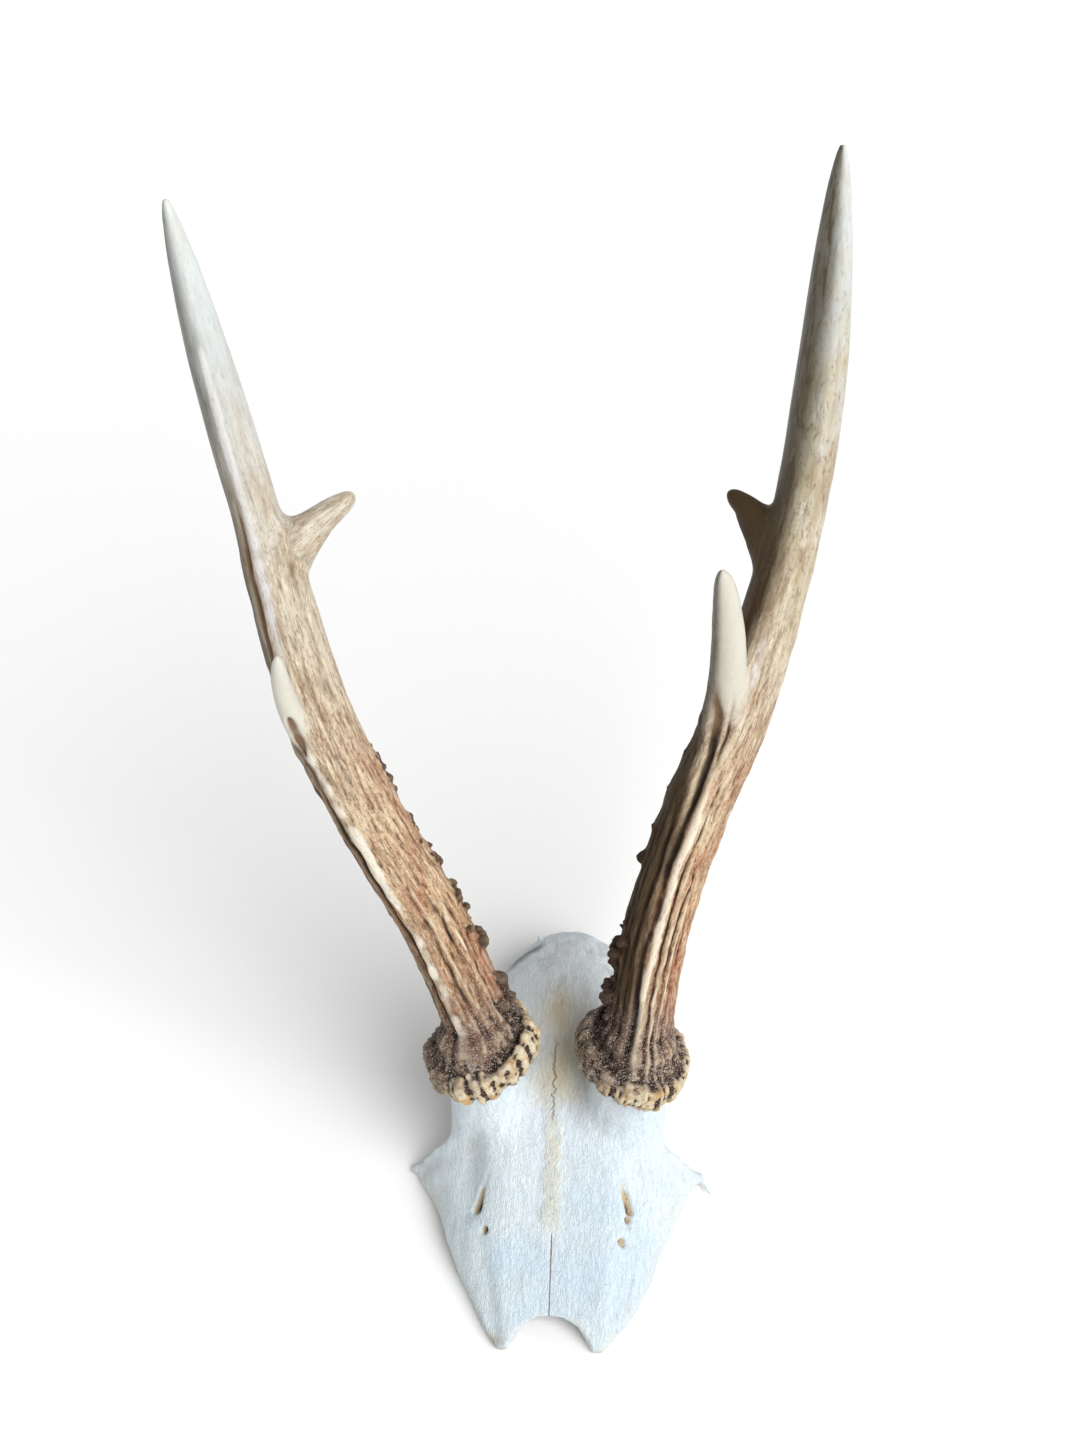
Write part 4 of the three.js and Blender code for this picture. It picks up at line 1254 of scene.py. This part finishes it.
def antler_material():
    """Antler: speckled brown foot, tan grooved beam with cream ridges, and smooth ivory points."""
    paint = Paint("antler")
    attribute, noise, step, lay = paint.attribute, paint.noise, paint.step, paint.lay
    place = paint.place(1.0 / MM)
    grain = attribute("grain", "Vector")
    bare = attribute("bare")
    drift = noise(grain, 1.0, 4.0, stretch=(0.12, 0.12, 0.03))
    paint.colour = paint.node("ShaderNodeValToRGB", {"stops": [
        (0.00, (0.46, 0.34, 0.26)),
        (0.07, (0.60, 0.43, 0.31)),
        (0.20, (0.80, 0.65, 0.49)),
        (0.34, (0.85, 0.755, 0.625)),
        (0.47, (0.81, 0.75, 0.66)),
        (0.60, (0.80, 0.77, 0.705)),
        (0.72, (0.775, 0.765, 0.735)),
        (0.84, (0.77, 0.795, 0.795)),
        (1.00, (0.83, 0.86, 0.855)),
    ]}, {"Fac": bare + (drift - 0.5) * 0.16}, "Color")

    # Streaks and grains along the fibres, stronger below the bare points
    polished = attribute("polished")
    wild = step(bare, 0.88, 0.48) * (1.0 - polished * 0.85)
    lower = step(bare, 0.50, 0.28)
    wash = noise(grain, 0.22, 4.0, 0.6, stretch=(1.0, 1.0, 0.2))
    lay(step(wash, 0.47, 0.62) * (0.1 + wild * 0.55), (0.60, 0.48, 0.35))
    streak = noise(grain, 0.8, 6.0, 0.68, 0.5, stretch=(1.0, 1.0, 0.14))
    lay(step(streak, 0.5, 0.38) * (0.08 + wild * 0.42 + lower * 0.35), (0.38, 0.24, 0.13))
    lay(step(streak, 0.53, 0.66) * (0.2 + wild * 0.65), (0.93, 0.88, 0.78))
    rust = noise(grain, 0.16, 4.0, 0.6, stretch=(1.0, 1.0, 0.3))
    lay(step(rust, 0.42, 0.62) * lower * 0.75, (0.62, 0.37, 0.23))
    fine = noise(grain, 2.2, 5.0, 0.7, stretch=(1.0, 1.0, 0.22))
    lay(step(fine, 0.48, 0.36) * (0.12 + wild * 0.5 + lower * 0.2), (0.36, 0.24, 0.15))
    lay(step(fine, 0.53, 0.66) * (0.1 + wild * 0.4), (0.92, 0.88, 0.80))
    grit = noise(place, 1.1, 5.0, 0.72)
    lay(step(grit, 0.46, 0.34) * lower * 0.7, (0.34, 0.21, 0.14))
    lay(step(grit, 0.56, 0.68) * lower * 0.45, (0.93, 0.86, 0.74))

    # Olive clouds above the forks, polished tines, and painted shade on one side, partly its own darker
    # colour
    olive = attribute("olive")
    cloudy = noise(grain, 0.3, 5.0, 0.68, stretch=(1.0, 1.0, 0.35))
    lay(olive * step(cloudy, 0.36, 0.62, 0.2, 0.95), (0.74, 0.69, 0.56))
    lay(olive * step(wash, 0.45, 0.6) * step(bare, 0.88, 0.66) * 0.55, (0.60, 0.50, 0.37))
    fleck = noise(grain, 0.7, 6.0, 0.75, stretch=(1.0, 1.0, 0.45))
    lay(olive * step(fleck, 0.48, 0.36) * 0.8, (0.47, 0.38, 0.26))
    lay(polished * 0.7, (0.825, 0.82, 0.77))
    shaded = attribute("shaded_side")
    # Colour of the painted shade, partly the antler's own darker colour: brown below, grey-brown above
    painted_shade_and_stain_colour = paint.mix(step(bare, 0.52, 0.74), (0.25, 0.17, 0.05), (0.31, 0.275, 0.205))
    lay(shaded * step(streak, 0.34, 0.6, 0.96, 0.78), painted_shade_and_stain_colour)

    # Ridges and grooves
    # lit dims the pale ridges and pale edges under the painted shade
    lit = 1.0 - shaded * 0.75
    above = step(bare, 0.36, 0.5)
    bright = paint.mix(above, (0.95, 0.92, 0.86), (0.875, 0.865, 0.86))
    lay(step(attribute("pale"), 0.3, 0.8) * step(fine, 0.32, 0.52, 0.45, 1.0) * lit, bright)
    groove = paint.mix(above, (0.19, 0.12, 0.08), (0.44, 0.32, 0.21))
    lay(step(attribute("dark"), 0.15, 0.7) * 0.93, groove)

    # The ashen foot, the pearls, and the coronet with its golden rim
    burr = attribute("burr")
    ashen = paint.math("MAXIMUM", burr, attribute("near_burr") * 0.8)
    lay(ashen * step(drift, 0.3, 0.7, 0.5, 0.95), (0.365, 0.275, 0.23))
    pearl = attribute("pearl")
    lay(pearl * 0.9, (0.25, 0.175, 0.13))
    # Paler on convex edges: partly rubbed ridge tops, partly a painted highlight, dimmed under the painted
    # shade
    edge = attribute("edge")
    lay(edge * (0.15 + lower * 0.6) * (1.0 - pearl * 0.8) * lit, (0.92, 0.84, 0.71))
    # Darker in the hollows and in the coronet's gaps: partly dirt, partly painted shade
    hollow = attribute("hollow")
    gap = paint.mix(burr, (0.15, 0.09, 0.05), (0.20, 0.135, 0.09))
    lay(step(hollow, 0.05, 0.6) * (0.35 + lower * 0.6), gap)
    rim = attribute("rim")
    gold = paint.mix(step(noise(place, 0.4, 4.0), 0.36, 0.6), (0.84, 0.69, 0.45), (0.97, 0.92, 0.79))
    # The rim's gold is kept out of hollows and is brighter on convex edges, partly a painted highlight
    clean = step(hollow, 0.35, 0.05) * (0.72 + edge * 0.28) * step(grit, 0.36, 0.52, 0.5, 1.0)
    lay(rim * clean, gold)
    speck = noise(place, 2.1, 3.0, 0.7)
    lay(ashen * step(speck, 0.54, 0.64) * (0.85 - rim * 0.5), (0.88, 0.85, 0.82))

    strength = step(bare, 0.8, 0.4, 0.12, 1.0) * (1.0 - polished * 0.8)
    relief = (streak * 0.5 + fine * 0.5 + ashen * speck * 0.9) * strength
    return paint.finish(Roughness=step(bare, 0.35, 0.85, 0.62, 0.36) + (fine - 0.5) * 0.15,
                        Specular_IOR_Level=0.28, Normal=paint.bump(relief, 1.0, 0.0006))


def floor_material(settings):
    """Matt pale floor."""
    paint = Paint("pale_floor")
    paint.colour = paint.mix(paint.noise(paint.place(), 9.0, 3.0), screen(settings.floor_colour),
                             (0.985, 0.985, 0.985))
    return paint.finish(Roughness=0.9, Specular_IOR_Level=0.1)


# ---- Settings ----

def colour_setting(name, default):
    return FloatVectorProperty(name=name, description=f"{name} of the surface", subtype="COLOR", size=3,
                               min=0.0, max=1.0, default=srgb(default))


def detail_setting(default):
    return FloatProperty(name="Detail", description="Width of the skin's faces", default=default,
                         unit="LENGTH", subtype="DISTANCE", min=0.0003, max=0.003, precision=5)


class SkullCapSettings(bpy.types.PropertyGroup):
    detail: detail_setting(0.00062)
    bone_colour: colour_setting("Bone colour", (0.83, 0.888, 0.915))
    cream_colour: colour_setting("Broken edge colour", (0.84, 0.82, 0.74))
    stain_colour: colour_setting("Stain colour", (0.60, 0.53, 0.41))


class AntlerSettings(bpy.types.PropertyGroup):
    detail: detail_setting(0.0005)


class StageSettings(bpy.types.PropertyGroup):
    floor_colour: colour_setting("Floor colour", (0.98, 0.98, 0.98))
    key_strength: FloatProperty(name="Key light", description="Strength of the wide soft light on the right",
                                default=3.05, min=0.0)
    key_width: FloatProperty(name="Key width", description="Angle that the key light fills, from the cap",
                             default=math.radians(50.0), unit="ROTATION", subtype="ANGLE", min=0.0)
    sky_strength: FloatProperty(name="Room light", description="Strength of the light from all sides",
                                default=0.37, min=0.0)
    focal_length: FloatProperty(name="Focal length", description="Of the camera's lens, in millimetres",
                                default=52.5, min=1.0, subtype="DISTANCE_CAMERA")


# ---- Operators ----

class SKULLCAP_OT_add_cap(bpy.types.Operator):
    """Add the sawn skull cap with its pedicles"""
    bl_idname = "skullcap.add_cap"
    bl_label = "Skull cap"

    def execute(self, context):
        settings = context.scene.skull_cap
        skin = cap_skin(settings.detail / MM)
        cap = skin.to_object("skull_cap", bone_material(settings))
        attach(cap, "root")
        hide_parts("frontal_left", "frontal_right", "parietal", "occipital")
        return {"FINISHED"}


class SKULLCAP_OT_add_antlers(bpy.types.Operator):
    """Add both antlers with their coronets"""
    bl_idname = "skullcap.add_antlers"
    bl_label = "Antlers"

    def execute(self, context):
        settings = context.scene.antlers
        material = antler_material()
        for antler in (LEFT, RIGHT):
            piece = antler_skin(antler, settings.detail / MM).to_object(antler["name"], material)
            side = antler["name"].split("_")[1]
            parts = ("coronet", "lower_beam", "front_tine", "middle_beam", "rear_tine", "upper_beam")
            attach(piece, "root")
            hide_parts(*(f"{part}_{side}" for part in parts))
        return {"FINISHED"}


def face(item, place, target):
    """Puts a light at a place and turns it to face a point."""
    place, target = Vector(place), Vector(target)
    item.location = place
    item.rotation_mode = "QUATERNION"
    item.rotation_quaternion = (target - place).to_track_quat("-Z", "Y")


def white_room(strength):
    """A world that lights the scene evenly with this strength, and looks plain white to the camera."""
    world = bpy.data.worlds.new("room")
    world.use_nodes = True
    tree = world.node_tree
    room = tree.nodes["Background"]
    room.inputs["Color"].default_value = (1.0, 1.0, 1.0, 1.0)
    room.inputs["Strength"].default_value = strength
    backdrop = tree.nodes.new("ShaderNodeBackground")
    backdrop.inputs["Color"].default_value = (1.0, 1.0, 1.0, 1.0)
    seen = tree.nodes.new("ShaderNodeLightPath")
    either = tree.nodes.new("ShaderNodeMixShader")
    tree.links.new(seen.outputs["Is Camera Ray"], either.inputs[0])
    tree.links.new(room.outputs[0], either.inputs[1])
    tree.links.new(backdrop.outputs[0], either.inputs[2])
    tree.links.new(either.outputs[0], tree.nodes["World Output"].inputs["Surface"])
    return world


class SKULLCAP_OT_add_stage(bpy.types.Operator):
    """Add the floor, the lights and the camera"""
    bl_idname = "skullcap.add_stage"
    bl_label = "Stage"

    def execute(self, context):
        scene = context.scene
        settings = scene.stage
        mesh = bpy.data.meshes.new("floor")
        corners = FLOOR_HALF * np.array([(-1, -1, 0), (1, -1, 0), (1, 1, 0), (-1, 1, 0)], float)
        fill_mesh(mesh, corners - (0, 0, FLOOR_DROP), [np.array([[0, 1, 2, 3]])])
        mesh.materials.append(floor_material(settings))
        floor = bpy.data.objects.new("floor", mesh)
        scene.collection.objects.link(floor)
        scene.world = white_room(settings.sky_strength)

        light = bpy.data.lights.new("key", "SUN")
        light.angle = settings.key_width
        light.energy = settings.key_strength
        key = bpy.data.objects.new("key", light)
        face(key, KEY_PLACE, KEY_TARGET)
        scene.collection.objects.link(key)

        lens = bpy.data.cameras.new("camera")
        lens.lens = settings.focal_length
        lens.sensor_width = SENSOR_WIDTH
        camera = bpy.data.objects.new("camera", lens)
        axes = Matrix(np.array(CAMERA_AXES).T).to_4x4()
        camera.matrix_world = Matrix.Translation(CAMERA_PLACE) @ axes
        scene.collection.objects.link(camera)
        scene.camera = camera
        scene.view_settings.view_transform = "Standard"
        return {"FINISHED"}


class SKULLCAP_PT_panel(bpy.types.Panel):
    """Lists the pieces and their settings"""
    bl_idname = "SKULLCAP_PT_panel"
    bl_label = "Roe buck skull cap"
    bl_space_type = "VIEW_3D"
    bl_region_type = "UI"
    bl_category = "Skull cap"

    def draw(self, context):
        for settings, operator in ((context.scene.skull_cap, "skullcap.add_cap"),
                                   (context.scene.antlers, "skullcap.add_antlers"),
                                   (context.scene.stage, "skullcap.add_stage")):
            box = self.layout.box()
            for key in settings.bl_rna.properties.keys():
                if key not in ("rna_type", "name"):
                    box.prop(settings, key)
            box.operator(operator)


CLASSES = (SkullCapSettings, AntlerSettings, StageSettings, SKULLCAP_OT_add_cap, SKULLCAP_OT_add_antlers,
           SKULLCAP_OT_add_stage, SKULLCAP_PT_panel)


def register():
    for cls in CLASSES:
        bpy.utils.register_class(cls)
    bpy.types.Scene.skull_cap = PointerProperty(type=SkullCapSettings)
    bpy.types.Scene.antlers = PointerProperty(type=AntlerSettings)
    bpy.types.Scene.stage = PointerProperty(type=StageSettings)


def unregister():
    del bpy.types.Scene.stage
    del bpy.types.Scene.antlers
    del bpy.types.Scene.skull_cap
    for cls in reversed(CLASSES):
        bpy.utils.unregister_class(cls)


def main():
    register()
    bpy.ops.skullcap.add_cap()
    bpy.ops.skullcap.add_antlers()
    bpy.ops.skullcap.add_stage()


if __name__ == "__main__":
    main()
